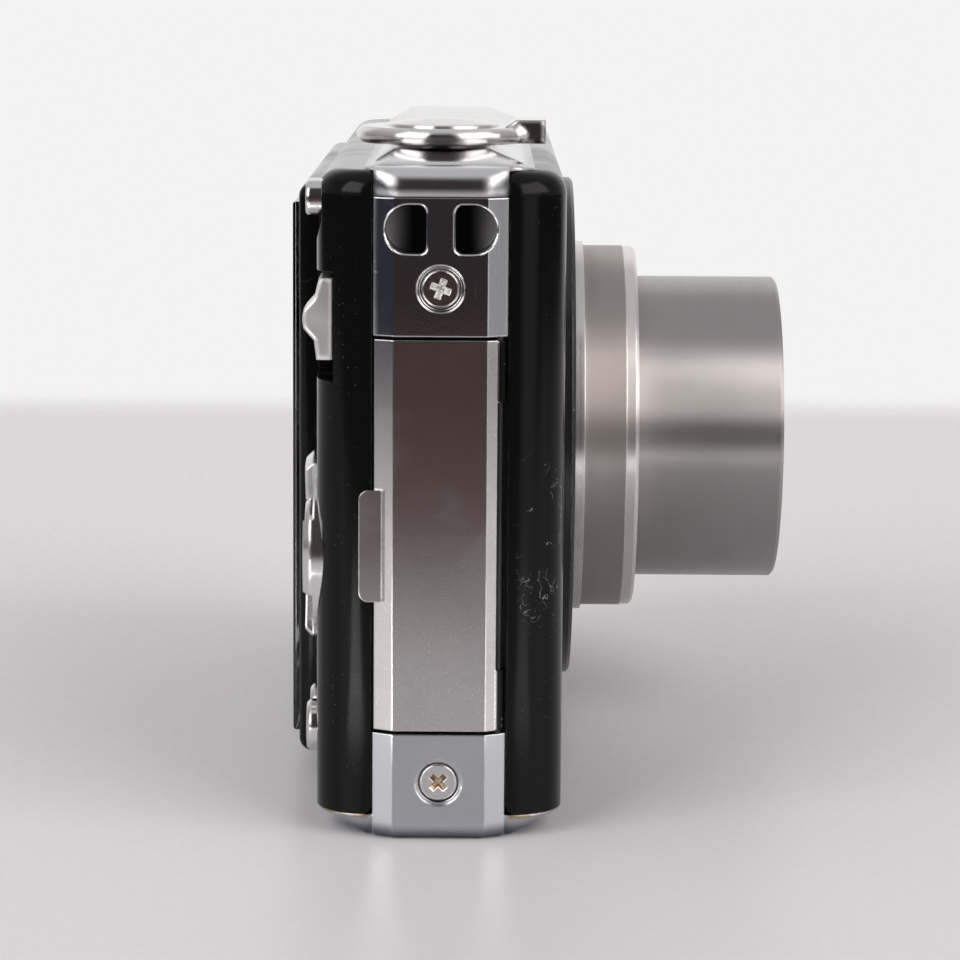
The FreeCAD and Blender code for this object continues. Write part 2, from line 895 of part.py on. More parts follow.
def make_bottom_frame():
    """Bottom plate with bevelled long edges, a short band at -X and a tall one at +X."""
    half = size("body_width") / 2 - size("band_drop")
    depth = size("band_drop") + size("cover_wall")
    edge = size("base_edge")
    corner = size("cover_radius")
    rise = size("base_rise")
    drop = (size("base_depth") - size("base_flat")) / 2
    lower = rounded_outline(half - edge, size("base_flat") / 2, corner - drop, 0)
    upper = rounded_outline(half, size("base_depth") / 2, corner, rise)
    plate = Part.makeLoft([lower, upper], True, True)
    rim = Part.Face(upper).extrude(FreeCAD.Vector(0, 0, size("cover_low") - rise))
    ends = [
        band_prism(0, size("low_end_top"), depth),
        mirrored_end(band_prism(0, size("side_top"), depth)),
    ]
    rounded = []
    for end in ends:
        outer = [
            item
            for item in end.Edges
            if lies_at(item, "Z", 0) and abs(item.CenterOfMass.x) > half and not runs(item, "X")
        ]
        rounded.append(end.makeFillet(edge, outer))
    shell = plate.multiFuse([rim] + rounded).removeSplitter()
    frame = placed_shape("bottom_frame_shell", shell)
    low_end = "-" + END
    tools = [
        box(
            "hatch_opening",
            "-hatch_far",
            "-hatch_near",
            "-hatch_half",
            "hatch_half",
            "-seam",
            "cover_low + seam",
        ),
        box(
            "hinge_opening",
            "-hatch_near - seam",
            "-hatch_axis_x + hatch_barrel + slide_gap",
            "-hatch_barrel_half - slide_gap",
            "hatch_barrel_half + slide_gap",
            "-seam",
            "cover_low + seam",
        ),
        hinge_line("hinge_bore"),
        rod(
            "bush_hole",
            "Z",
            "tripod_x",
            "0",
            "-seam",
            "tripod_tube + seam / 2",
            "cover_low + 2 * seam",
        ),
    ]
    tools += screw_seat("low_near", low_end, "lower_screw", 1)
    tools += screw_seat("low_far", END, "lower_screw", -1)
    tools += screw_seat("high_far", END, "upper_screw", -1)
    return cut_away("bottom_frame", frame, *tools)


def hinge_line(label):
    """Round bar on the hinge line of the battery door."""
    return rod(
        label,
        "Y",
        "-hatch_axis_x",
        "-hatch_pin_half",
        "hatch_axis_z",
        "hatch_pin_radius",
        "2 * hatch_pin_half",
    )


def screw_seat(name, face, height, inward):
    """Dished seat for one end screw; inward is the way in along X."""
    depth = "(screw_sink + screw_head_thick)"
    length = "(screw_length + seam)"
    if inward > 0:
        seat_start = face
        hole_start = face
        dish_start = "%s - seam" % face
    else:
        seat_start = "%s - %s" % (face, depth)
        hole_start = "%s - %s" % (face, length)
        dish_start = "%s - screw_sink" % face
    seat = rod(name + "_seat", "X", seat_start, "0", height, "screw_head + seam / 2", depth)
    hole = rod(name + "_hole", "X", hole_start, "0", height, "screw_shank", length)
    dish = rod(name + "_dish", "X", dish_start, "0", height, "screw_dish", "screw_sink + seam")
    return [seat, hole, dish]


def make_end_screws():
    screws = []
    for name, height in (("lower", "lower_screw"), ("upper", "upper_screw")):
        near_head = "-%s + screw_sink" % END
        far_head = "%s - screw_sink - screw_head_thick" % END
        far_tip = "%s - screw_length" % END
        shank = "screw_length - screw_sink"
        near = [
            rod(name + "_near_head", "X", near_head, "0", height, "screw_head", "screw_head_thick"),
            rod(name + "_near_shank", "X", near_head, "0", height, "screw_shank", shank),
        ]
        far = [
            rod(name + "_far_head", "X", far_head, "0", height, "screw_head", "screw_head_thick"),
            rod(name + "_far_shank", "X", far_tip, "0", height, "screw_shank", shank),
        ]
        screws.append(joined(name + "_near_screw", near))
        screws.append(joined(name + "_far_screw", far))
    return group("end_screws", screws)


def make_top_cover():
    """Top plate with facets that fall away from a narrow flat, and a cap over each end."""
    low = size("cover_top")
    high = size("top_height")
    half_length = size("top_length") / 2
    front = size("top_front")
    rear = size("top_rear")
    end_half = size("band_depth") / 2
    bulge = size("top_corner_bulge")
    flat_length = size("top_flat_length") / 2
    flat_front = size("top_flat_front")
    flat_rear = size("top_flat_rear")
    flat_corner = size("top_flat_corner")
    outlines = []
    for along, ahead, behind, corner, end, height in (
        (half_length, front, rear, size("top_corner"), end_half, low),
        (flat_length, flat_front, flat_rear, flat_corner, flat_front - flat_corner, high),
    ):
        steps = [(0, 1), (bulge, bulge), (1, 0)]
        rear_steps = [(along - x * corner, behind - y * (behind - end)) for x, y in steps]
        front_steps = [(along - x * corner, y * (ahead - end) - ahead) for x, y in steps]
        points = rear_steps + [(-x, y) for x, y in reversed(rear_steps)]
        points += [(-x, y) for x, y in front_steps] + list(reversed(front_steps))
        vectors = [FreeCAD.Vector(x, y, height) for x, y in points]
        outlines.append(Part.makePolygon(vectors + vectors[:1]))
    plate = Part.makeLoft(outlines, True, True)
    bend = size("cap_round")
    depth = size("cap_depth")
    crown = size("cap_high")
    cap = band_prism(size("cap_low"), crown, depth)
    face = -size("body_width") / 2
    quarter = bend * (1 - math.sqrt(0.5))
    start = FreeCAD.Vector(face, -front, crown - bend)
    middle = FreeCAD.Vector(face + quarter, -front, crown - quarter)
    finish = FreeCAD.Vector(face + bend, -front, crown)
    shoulder = FreeCAD.Vector(face + depth, -front, crown)
    below = FreeCAD.Vector(face + depth, -front, size("cap_low"))
    foot = FreeCAD.Vector(face, -front, size("cap_low"))
    profile = Part.Wire(
        [
            Part.LineSegment(foot, start).toShape(),
            Part.Arc(start, middle, finish).toShape(),
            Part.LineSegment(finish, shoulder).toShape(),
            Part.LineSegment(shoulder, below).toShape(),
            Part.LineSegment(below, foot).toShape(),
        ]
    )
    bend_solid = Part.Face(profile).extrude(FreeCAD.Vector(0, front + rear, 0))
    cap = cap.common(bend_solid)
    whole = plate.multiFuse([cap, mirrored_end(cap)]).removeSplitter()
    shell = placed_shape("top_cover_shell", whole)
    floor = "cover_top - seam"
    hub = rod("ring_hole", "Z", "-ring_x", "0", floor, "hub_radius + running_fit", "top_height")
    left = "-power_x - power_length / 2 + power_width / 2"
    right = "-power_x + power_length / 2 - power_width / 2"
    across = "(power_width / 2 + pill_gap)"
    slot = [
        box("power_slot", left, right, "-" + across, across, floor, "top_height + seam"),
        rod("power_slot_left", "Z", left, "0", floor, across, "top_height"),
        rod("power_slot_right", "Z", right, "0", floor, across, "top_height"),
    ]
    return cut_away("top_cover", shell, hub, *slot)


# Strap bracket: two holes with a bar between them


def strap_hole(side):
    """Hole with a flat side at the bar and a round side away from it; side is 1 or -1."""
    start = -size("body_width") / 2 - size("seam")
    middle = size("strap_hole_middle")
    radius = size("strap_hole_height") / 2
    flat = side * size("strap_bar") / 2
    outer = side * (size("strap_bar") / 2 + size("strap_hole_width"))
    bend = outer - side * radius
    low_flat = FreeCAD.Vector(start, flat, middle - radius)
    low_bend = FreeCAD.Vector(start, bend, middle - radius)
    furthest = FreeCAD.Vector(start, outer, middle)
    high_bend = FreeCAD.Vector(start, bend, middle + radius)
    high_flat = FreeCAD.Vector(start, flat, middle + radius)
    outline = Part.Wire(
        [
            Part.LineSegment(low_flat, low_bend).toShape(),
            Part.Arc(low_bend, furthest, high_bend).toShape(),
            Part.LineSegment(high_bend, high_flat).toShape(),
            Part.LineSegment(high_flat, low_flat).toShape(),
        ]
    )
    depth = size("seam") + size("strap_bar_thick") + size("strap_tunnel")
    return Part.Face(outline).extrude(FreeCAD.Vector(depth, 0, 0))


def make_strap_bracket():
    """Thick end of the band with the two holes, joined by a tunnel behind the bar."""
    block = band_prism(size("strap_low"), size("side_top"), size("strap_thick"))
    block = block.cut(strap_hole(1)).cut(strap_hole(-1))
    bar_side = size("strap_bar") / 2
    inner_corners = [
        edge
        for edge in block.Edges
        if runs(edge, "X") and (lies_at(edge, "Y", bar_side) or lies_at(edge, "Y", -bar_side))
    ]
    block = block.makeFillet(size("strap_hole_corner"), inner_corners)
    hole_low = size("strap_hole_middle") - size("strap_hole_height") / 2
    hole_high = size("strap_hole_middle") + size("strap_hole_height") / 2
    bar_rear = -size("body_width") / 2 + size("strap_bar_thick")
    rims = []
    for edge in block.Edges:
        room = edge.BoundBox
        near_face = room.XMax < bar_rear - 0.01 and not runs(edge, "X")
        if near_face and room.ZMin > hole_low - 0.01 and room.ZMax < hole_high + 0.01:
            rims.append(edge)
    block = block.makeChamfer(size("strap_hole_rim"), rims)
    shell = placed_shape("strap_block", block)
    tunnel = box(
        "strap_tunnel_room",
        "-%s + strap_bar_thick" % END,
        "-%s + strap_bar_thick + strap_tunnel" % END,
        "-strap_bar",
        "strap_bar",
        "strap_hole_middle - strap_hole_height / 2",
        "strap_hole_middle + strap_hole_height / 2",
    )
    seat = screw_seat("high_near", "-" + END, "upper_screw", 1)
    return cut_away("strap_bracket", shell, tunnel, *seat)


# Terminal door with its pin, carrier, panel and sockets

PIN_X = "(-body_width / 2 + door_pin_inset)"
DOOR_INNER = "(-body_width / 2 + door_thick)"
BEVEL = "band_drop / (band_depth / 2 - band_flat / 2)"


def make_terminal_door():
    """Plate with bevelled sides, a finger tab and two hinge knuckles at its front edge."""
    body = new_body("terminal_door")
    front_face = "-%s + (door_front - band_flat / 2) * %s" % (END, BEVEL)
    rear_face = "-%s + (door_rear - band_flat / 2) * %s" % (END, BEVEL)
    section = [
        (front_face, "-door_front"),
        ("-" + END, "-band_flat / 2"),
        ("-" + END, "band_flat / 2"),
        (rear_face, "door_rear"),
        (DOOR_INNER, "door_rear"),
        (DOOR_INNER, "-door_front"),
    ]
    add(body, "Z", "door_low", "door_high", section)
    tab_outer = "-%s - seam / 2 - tab_thick" % COVER_END
    add(
        body,
        "Z",
        "tab_low",
        "tab_high",
        rectangle(tab_outer, "door_rear - tab_thick", "-%s - seam / 2" % COVER_END, "tab_reach"),
    )
    reach = size("tab_reach")
    round_edges(body, "tab_corner", lambda edge: runs(edge, "X") and lies_at(edge, "Y", reach))
    knuckle = (PIN_X, "-door_pin_front", "door_knuckle")
    add(body, "Z", "door_low + seam", "door_low + seam + door_knuckle_length", knuckle)
    add(body, "Z", "door_high - seam - door_knuckle_length", "door_high - seam", knuckle)
    bore = (PIN_X, "-door_pin_front", "door_pin_radius + running_fit / 2")
    cut(body, "Z", "door_low - seam", "door_high + seam", bore)
    return body


def make_terminal_door_pin():
    return rod(
        "terminal_door_pin",
        "Z",
        PIN_X,
        "-door_pin_front",
        "low_end_top",
        "door_pin_radius",
        "strap_low - low_end_top",
    )


def make_terminal_door_carrier():
    """Black inner plate of the door."""
    body = new_body("terminal_door_carrier")
    inner = DOOR_INNER + " + carrier_thick"
    add(
        body,
        "X",
        DOOR_INNER,
        inner,
        rectangle(
            "-door_front + carrier_margin",
            "door_low + carrier_margin",
            "door_rear - carrier_margin",
            "door_high - carrier_margin",
        ),
    )
    return body


def socket_outline(height, width, middle):
    rear = "main_board_front"
    return rectangle(
        "%s - %s" % (rear, width),
        "%s - %s / 2" % (middle, height),
        rear,
        "%s + %s / 2" % (middle, height),
    )


def make_terminal_panel():
    """Black panel behind the door, with a cut-out for each socket."""
    body = new_body("terminal_panel")
    face = "-%s + seam" % INNER_END
    add(
        body,
        "X",
        face,
        face + " + panel_thick",
        rectangle("-panel_half", "low_end_top + seam", "panel_half", "strap_low - seam"),
    )
    cut(
        body,
        "X",
        face + " - seam",
        face + " + panel_thick + seam",
        socket_outline("digital_height", "digital_width", "digital_middle"),
        socket_outline("av_height", "av_width", "av_middle"),
    )
    return body


def make_socket(label, height, width, middle):
    """Metal shell with one open end and a contact tongue inside."""
    mouth = "(-%s + seam)" % INNER_END
    body = new_body(label)
    add(body, "X", mouth, mouth + " + socket_depth", socket_outline(height, width, middle))
    low = "%s - %s / 2 + socket_wall" % (middle, height)
    high = "%s + %s / 2 - socket_wall" % (middle, height)
    front = "main_board_front - %s + socket_wall" % width
    rear = "main_board_front - socket_wall"
    floor = mouth + " + socket_depth - socket_wall"
    cut(body, "X", mouth + " - seam", floor, rectangle(front, low, rear, high))
    add(
        body,
        "X",
        mouth + " + 2 * socket_wall",
        floor,
        rectangle(
            "main_board_front - %s / 2 - socket_wall" % width,
            "%s - %s / 4" % (middle, height),
            "main_board_front - %s / 2 + socket_wall" % width,
            "%s + %s / 4" % (middle, height),
        ),
    )
    return body


# Lens: surround, fixed base and the two telescoping barrels

OUTER_BORE = "(outer_radius - outer_wall)"
INNER_BORE = "(inner_radius - inner_wall)"
BASE_BORE = "(outer_radius + running_fit)"


def make_lens_ring():
    """Black ring round the barrels, dished towards them, with a spigot in the front cover."""
    face = "cover_depth / 2 + surround_proud"
    return lens_piece(
        "lens_ring",
        [
            ("trim_outer", INNER_FACE),
            ("surround_spigot", INNER_FACE),
            ("surround_spigot", COVER_FACE),
            ("surround_radius", COVER_FACE),
            ("surround_radius", face + " - surround_edge"),
            ("surround_radius - surround_edge", face),
            ("surround_radius - 3 * surround_edge", face),
            ("trim_outer", "cover_depth / 2 + trim_flange"),
        ],
    )


def make_trim_ring():
    """Bright collar that the first stage slides through, with a flange inside the black ring."""
    face = "cover_depth / 2 + trim_proud"
    flange = "cover_depth / 2 + trim_flange"
    inner = "outer_radius + running_fit"
    return lens_piece(
        "trim_ring",
        [
            (inner, INNER_FACE),
            ("trim_outer", INNER_FACE),
            ("trim_outer", flange),
            ("trim_lip", flange),
            ("trim_lip", face),
            (inner, face),
        ],
    )


def make_lens_base():
    """Fixed tube with a rear plate that holds the sensor, slotted for the guide pins."""
    outside = BASE_BORE + " + base_tube_wall"
    rear = "-base_plate_front - base_plate_thick"
    body = lens_piece(
        "lens_base",
        [
            (BASE_BORE, INNER_FACE),
            (outside, INNER_FACE),
            (outside, rear),
            ("0", rear),
            ("0", "-base_plate_front"),
            (BASE_BORE, "-base_plate_front"),
        ],
    )
    cut(
        body,
        "Y",
        "base_plate_front - seam",
        "base_plate_front + base_plate_thick + seam",
        rectangle(
            "lens_x - sensor_width / 2 - seam",
            "lens_z - sensor_height / 2 - seam",
            "lens_x + sensor_width / 2 + seam",
            "lens_z + sensor_height / 2 + seam",
        ),
    )
    return body


def make_outer_barrel():
    """First stage: tube with a narrower bright front band and a lip that guides the second."""
    front_radius = "outer_radius - outer_band_step"
    lip = "outer_front - outer_lip"
    rear = "outer_front - outer_length"
    return lens_piece(
        "outer_barrel",
        [
            ("inner_radius + running_fit", "outer_front"),
            (front_radius + " - rim_edge", "outer_front"),
            (front_radius, "outer_front - rim_edge"),
            (front_radius, lip),
            ("outer_radius", lip),
            ("outer_radius", rear),
            (OUTER_BORE, rear),
            (OUTER_BORE, lip),
            ("inner_radius + running_fit", lip),
        ],
    )


def make_inner_barrel():
    """Second stage: tube with a bevelled rim and a rear flange that runs in the first."""
    rear = "inner_front - inner_length"
    return lens_piece(
        "inner_barrel",
        [
            (INNER_BORE, "inner_front"),
            ("inner_radius - rim_edge", "inner_front"),
            ("inner_radius", "inner_front - rim_edge"),
            ("inner_radius", rear + " + inner_flange"),
            (OUTER_BORE + " - running_fit", rear + " + inner_flange"),
            (OUTER_BORE + " - running_fit", rear),
            (INNER_BORE, rear),
        ],
    )


# Front group: ring, barrier blades, cell and lens

RING_FRONT = "(inner_front - front_ring_set)"
RING_REAR = "(inner_front - front_ring_set - front_ring_thick)"
BLADE_FRONT = "(inner_front - front_ring_set - front_ring_thick - blade_gap)"
CELL_FRONT = "(inner_front - front_ring_set - front_ring_thick - 2 * blade_gap - blade_thick)"
GROUP_RADIUS = "(inner_radius - inner_wall - seam / 2)"


def make_front_ring():
    return lens_piece(
        "front_ring",
        [
            ("aperture", RING_REAR),
            ("aperture + rim_edge", RING_FRONT),
            (GROUP_RADIUS, RING_FRONT),
            (GROUP_RADIUS, RING_REAR),
        ],
    )


def make_blade(label, side):
    """Half-round barrier blade, drawn swung open about its pin; side is 1 above, -1 below."""
    half = doc.addObject("Part::Cylinder", label + "_disc")
    half.Placement.Rotation = TURNS["Y"]
    half.setExpression("Radius", bound("blade_radius"))
    half.setExpression("Height", bound("blade_thick"))
    arm = doc.addObject("Part::Box", label + "_arm")
    arm.setExpression("Length", bound("blade_pivot"))
    arm.setExpression("Width", bound("blade_thick"))
    arm.setExpression("Height", bound("2 * blade_arm"))
    eye = doc.addObject("Part::Cylinder", label + "_eye")
    eye.Placement.Rotation = TURNS["Y"]
    eye.setExpression("Radius", bound("blade_arm"))
    eye.setExpression("Height", bound("blade_thick"))
    for item, x, z in ((half, "blade_pivot", "0"), (arm, "0", "0"), (eye, "0", "0")):
        item.setExpression("Placement.Base.x", bound(x))
        item.setExpression("Placement.Base.z", bound(z))
    whole = joined(label + "_blank", [half, arm, eye])
    lower = doc.addObject("Part::Box", label + "_lower")
    lower.setExpression("Length", bound("2 * blade_pivot"))
    lower.setExpression("Width", bound("3 * blade_thick"))
    lower.setExpression("Height", bound("blade_pivot"))
    lower.setExpression("Placement.Base.x", bound("blade_arm"))
    lower.setExpression("Placement.Base.y", bound("-blade_thick"))
    lower.setExpression("Placement.Base.z", bound("blade_fit - blade_pivot"))
    hole = doc.addObject("Part::Cylinder", label + "_hole")
    hole.Placement.Rotation = TURNS["Y"]
    hole.setExpression("Radius", bound("blade_pin + blade_fit"))
    hole.setExpression("Height", bound("3 * blade_thick"))
    hole.setExpression("Placement.Base.y", bound("-blade_thick"))
    blade = cut_away(label, whole, lower, hole)
    if side > 0:
        blade.Placement.Rotation = FreeCAD.Rotation(FreeCAD.Vector(0, 1, 0), -size("blade_swing"))
        blade.setExpression("Placement.Base.x", bound("lens_x - blade_pivot"))
    else:
        blade.Placement.Rotation = FreeCAD.Rotation(FreeCAD.Vector(0, 1, 0), 180 - size("blade_swing"))
        blade.setExpression("Placement.Base.x", bound("lens_x + blade_pivot"))
    blade.setExpression("Placement.Base.y", bound("-" + BLADE_FRONT))
    blade.setExpression("Placement.Base.z", bound("lens_z"))
    return blade


def make_front_cell():
    """Black cell behind the blades, with a pin for each of them."""
    rear = CELL_FRONT + " - cell_length"
    bore = "front_lens_radius + seam / 2"
    body = lens_piece(
        "front_cell",
        [
            (bore, CELL_FRONT),
            (GROUP_RADIUS, CELL_FRONT),
            (GROUP_RADIUS, rear),
            (GROUP_RADIUS + " - cell_wall", rear),
            (GROUP_RADIUS + " - cell_wall", CELL_FRONT + " - cell_face"),
            (bore + " + cell_wall", CELL_FRONT + " - cell_face"),
            (bore + " + cell_wall", rear),
            (bore, rear),
        ],
    )
    add(
        body,
        "Y",
        "-" + RING_REAR,
        "-" + CELL_FRONT + " + cell_face / 2",
        ("lens_x - blade_pivot", "lens_z", "blade_pin"),
        ("lens_x + blade_pivot", "lens_z", "blade_pin"),
    )
    return body


def make_lens_element(label, front, thick, radius, curve):
    """Glass element with a domed front face; front is its distance before the mid-plane."""
    blank = rod(label + "_blank", "Y", "lens_x", "-(%s)" % front, "lens_z", radius, thick)
    dome = ball(label + "_dome", "lens_x", "-(%s) + %s" % (front, curve), "lens_z", curve)
    return common(label, [blank, dome])


# Focus group, guide rods, sensor and motor


def make_focus_cell():
    """Ring that carries the focus lens, with an ear on each guide rod."""
    body = lens_piece(
        "focus_cell",
        [
            ("focus_lens_radius + seam / 2", "-focus_front"),
            ("focus_cell", "-focus_front"),
            ("focus_cell", "-focus_front - focus_length"),
            ("focus_lens_radius + seam / 2", "-focus_front - focus_length"),
        ],
    )
    outer = "(rod_circle + ear_width / 2)"
    inner = "(focus_cell - cell_wall / 2)"
    low = "lens_z - ear_width / 2"
    high = "lens_z + ear_width / 2"
    add(
        body,
        "Y",
        "focus_front",
        "focus_front + ear_thick",
        rectangle("lens_x - " + outer, low, "lens_x - " + inner, high),
        rectangle("lens_x + " + inner, low, "lens_x + " + outer, high),
    )
    cut(
        body,
        "Y",
        "focus_front - seam",
        "focus_front + ear_thick + seam",
        ("lens_x - rod_circle", "lens_z", "rod_radius + blade_fit"),
        ("lens_x + rod_circle", "lens_z", "rod_radius + blade_fit"),
    )
    return body


def make_guide_rods():
    front = "-rod_front"
    length = "rod_front + base_plate_front"
    rods = [
        rod("guide_rod_near", "Y", "lens_x - rod_circle", front, "lens_z", "rod_radius", length),
        rod("guide_rod_far", "Y", "lens_x + rod_circle", front, "lens_z", "rod_radius", length),
    ]
    return group("guide_rods", rods)


def make_image_sensor():
    rear = "base_plate_front + base_plate_thick"
    chip = box(
        "sensor_chip",
        "lens_x - sensor_width / 2",
        "lens_x + sensor_width / 2",
        "base_plate_front + seam",
        rear,
        "lens_z - sensor_height / 2",
        "lens_z + sensor_height / 2",
    )
    board = box(
        "sensor_board",
        "lens_x - sensor_board_width / 2",
        "lens_x + sensor_board_width / 2",
        rear,
        rear + " + board_thick",
        "lens_z - sensor_board_height / 2",
        "lens_z + sensor_board_height / 2",
    )
    return joined("image_sensor", [chip, board])


def make_zoom_motor():
    """Small motor beside the lens base with its gear case in front."""
    case_rear = "-" + INNER_FACE + " + gear_case_depth"
    barrel = rod(
        "motor_can", "Y", "motor_x", case_rear, "motor_z", "motor_radius", "motor_length"
    )
    case = box(
        "gear_case",
        "motor_x - motor_radius + seam",
        "motor_x + motor_radius",
        "-" + INNER_FACE + " + seam",
        case_rear,
        "motor_z - motor_radius",
        "motor_z + motor_radius + 2 * cover_wall",
    )
    return joined("zoom_motor", [barrel, case])


# Screen on the back

WINDOW_FACE = "(cover_depth / 2 + screen_proud + window_proud)"


def make_screen_frame():
    """Raised black frame round the screen window."""
    body = new_body("screen_frame")
    face = COVER_FACE + " + screen_proud"
    outline = rectangle("-screen_near", "screen_low", "screen_far", "screen_high")
    add(body, "Y", COVER_FACE, face, outline)
    round_edges(body, "screen_corner", lambda edge: runs(edge, "Y"))
    top = size("cover_depth") / 2 + size("screen_proud")
    round_edges(body, "screen_proud / 2", lambda edge: lies_at(edge, "Y", top))
    cut(
        body,
        "Y",
        COVER_FACE + " - seam",
        face + " + seam",
        rectangle(
            "-screen_near + window_margin",
            "screen_low + window_margin",
            "screen_far - window_margin",
            "screen_high - window_margin",
        ),
    )
    return body


def make_screen_window():
    """Clear cover of the screen, a little proud of its frame."""
    body = new_body("screen_window")
    add(
        body,
        "Y",
        WINDOW_FACE + " - window_thick",
        WINDOW_FACE,
        rectangle(
            "-screen_near + window_margin + seam / 2",
            "screen_low + window_margin + seam / 2",
            "screen_far - window_margin - seam / 2",
            "screen_high - window_margin - seam / 2",
        ),
    )
    face = size("cover_depth") / 2 + size("screen_proud") + size("window_proud")
    round_edges(body, "window_proud / 2", lambda edge: lies_at(edge, "Y", face))
    return body


def make_screen_module():
    rear = WINDOW_FACE + " - window_thick"
    return box(
        "screen_module",
        "-screen_near + window_margin + seam",
        "screen_far - window_margin - seam",
        rear + " - module_thick",
        rear,
        "screen_low + window_margin + seam",
        "screen_high - window_margin - seam",
    )


# Controls on the back


def make_back_button(label, x):
    """Round button with a bevelled face and a collar behind the cover."""
    face = COVER_FACE + " + round_proud"
    collar_rear = INNER_FACE + " - flange_gap"
    collar_front = collar_rear + " - flange_thick"
    return turned_piece(
        label,
        "Y",
        x,
        "round_z",
        [
            ("0", collar_front),
            ("round_button + button_flange", collar_front),
            ("round_button + button_flange", collar_rear),
            ("round_button", collar_rear),
            ("round_button", face + " - button_edge"),
            ("round_button - button_edge", face),
            ("0", face),
        ],
    )


def make_set_button():
    """Centre button of the navigation ring."""
    face = COVER_FACE + " + set_proud"
    return turned_piece(
        "set_button",
        "Y",
        "-nav_x",
        "nav_z",
        [
            ("0", "gimbal_rear + flange_gap"),
            ("set_radius", "gimbal_rear + flange_gap"),
            ("set_radius", face + " - button_edge"),
            ("set_radius - button_edge", face),
            ("0", face),
        ],
    )


def make_nav_ring():
    """Four-way ring with four raised pads and a thin flange behind the cover."""
    face = COVER_FACE + " + nav_proud"
    level = COVER_FACE + " + nav_level"
    flange_front = "nav_flange_rear - nav_flange_thick"
    body = turned_piece(
        "nav_ring",
        "Y",
        "-nav_x",
        "nav_z",
        [
            ("nav_bore", flange_front),
            ("nav_flange", flange_front),
            ("nav_flange", "nav_flange_rear"),
            ("nav_radius", "nav_flange_rear"),
            ("nav_radius", face + " - 2 * button_edge"),
            ("nav_radius - 2 * button_edge", face),
            ("nav_bore + button_edge", face),
            ("nav_bore", face + " - button_edge"),
        ],
    )
    cut(
        body,
        "Y",
        flange_front + " - seam",
        "nav_flange_rear",
        rectangle(
            "-nav_x - 2 * nav_flange",
            "nav_z - nav_flange",
            "-nav_x - nav_flange_side",
            "nav_z + nav_flange",
        ),
    )
    far = "2 * nav_radius"
    near_side = far + " * sin(45 - nav_valley / 2)"
    far_side = far + " * cos(45 - nav_valley / 2)"
    for x_sign, z_sign in ((1, 1), (-1, 1), (-1, -1), (1, -1)):
        valley = [
            ("-nav_x", "nav_z"),
            ("-nav_x + %d * %s" % (x_sign, near_side), "nav_z + %d * %s" % (z_sign, far_side)),
            ("-nav_x + %d * %s" % (x_sign, far_side), "nav_z + %d * %s" % (z_sign, near_side)),
        ]
        cut(body, "Y", level, face + " + seam", valley)
    return body


def make_nav_gimbal():
    """Thin plate under the ring that tips up and down and lets the ring tip sideways."""
    return turned_piece(
        "nav_gimbal",
        "Y",
        "-nav_x",
        "nav_z",
        [
            ("nav_bore", "gimbal_rear - gimbal_thick"),
            ("gimbal_radius", "gimbal_rear - gimbal_thick"),
            ("gimbal_radius", "gimbal_rear"),
            ("nav_bore", "gimbal_rear"),
        ],
    )


def make_share_button():
    """Pill-shaped button in the thumb scoop."""
    body = new_body("share_button")
    left = "-share_x - share_width / 2"
    right = "-share_x + share_width / 2"
    low = "share_z - share_height / 2"
    high = "share_z + share_height / 2"
    rear_of_collar = INNER_FACE + " - flange_gap"
    face = COVER_FACE + " + share_proud"
    add(body, "Y", rear_of_collar, face, rectangle(left, low, right, high))
    round_edges(body, "share_height / 2 - seam", lambda edge: runs(edge, "Y"))
    place = size("cover_depth") / 2 + size("share_proud")
    round_edges(body, "button_edge", lambda edge: lies_at(edge, "Y", place))
    add(
        body,
        "Y",
        rear_of_collar + " - flange_thick",
        rear_of_collar,
        rectangle(
            left + " + button_edge",
            low + " - button_flange",
            right + " + button_flange",
            "share_z",
        ),
    )
    return body


def make_mode_switch():
    """Sliding knob in the corner notch, with a rounded ridge across its middle."""
    body = new_body("mode_switch")
    foot = "switch_floor + slide_gap"
    middle = "(switch_low + switch_high) / 2"
    profile = [
        (foot, "switch_low"),
        (COVER_FACE + " - seam", "switch_low"),
        (COVER_FACE + " + seam", "switch_low + switch_slope"),
        ("switch_peak - seam", middle + " - switch_ridge"),
        ("switch_peak", middle + " - switch_ridge / 3"),
        ("switch_peak", middle + " + switch_ridge / 3"),
        ("switch_peak - seam", middle + " + switch_ridge"),
        (COVER_FACE + " + seam", "switch_high - switch_slope"),
        (COVER_FACE + " - 3 * seam", "switch_high"),
        (foot, "switch_high"),
    ]
    add(body, "X", "-switch_side", "-switch_inner", profile)
    return body


# Controls on the top


def make_zoom_ring():
    """Chrome ring with a hub through the top cover and a raised lever at the front."""
    body = turned_piece(
        "zoom_ring",
        "Z",
        "-ring_x",
        "0",
        [
            ("hub_bore", "hub_low"),
            ("hub_radius", "hub_low"),
            ("hub_radius", "ring_low"),
            ("ring_radius - ring_edge", "ring_low"),
            ("ring_radius", "ring_low + ring_edge"),
            ("ring_radius", "ring_high - ring_edge"),
            ("ring_radius - ring_edge", "ring_high"),
            ("ring_bore", "ring_high"),
            ("ring_bore", "ring_low + ring_web"),
            ("hub_bore", "ring_low + ring_web"),
        ],
    )
    add(
        body,
        "X",
        "-ring_x - lever_width / 2",
        "-ring_x + lever_width / 2",
        [
            ("-lever_reach", "ring_low"),
            ("-ring_bore - ring_edge", "ring_low"),
            ("-ring_bore - ring_edge", "ring_high - ring_edge"),
            ("-lever_start", "ring_high"),
            ("-lever_start - 2 * ring_edge", "lever_high"),
            ("-lever_reach", "lever_high"),
        ],
    )
    return body


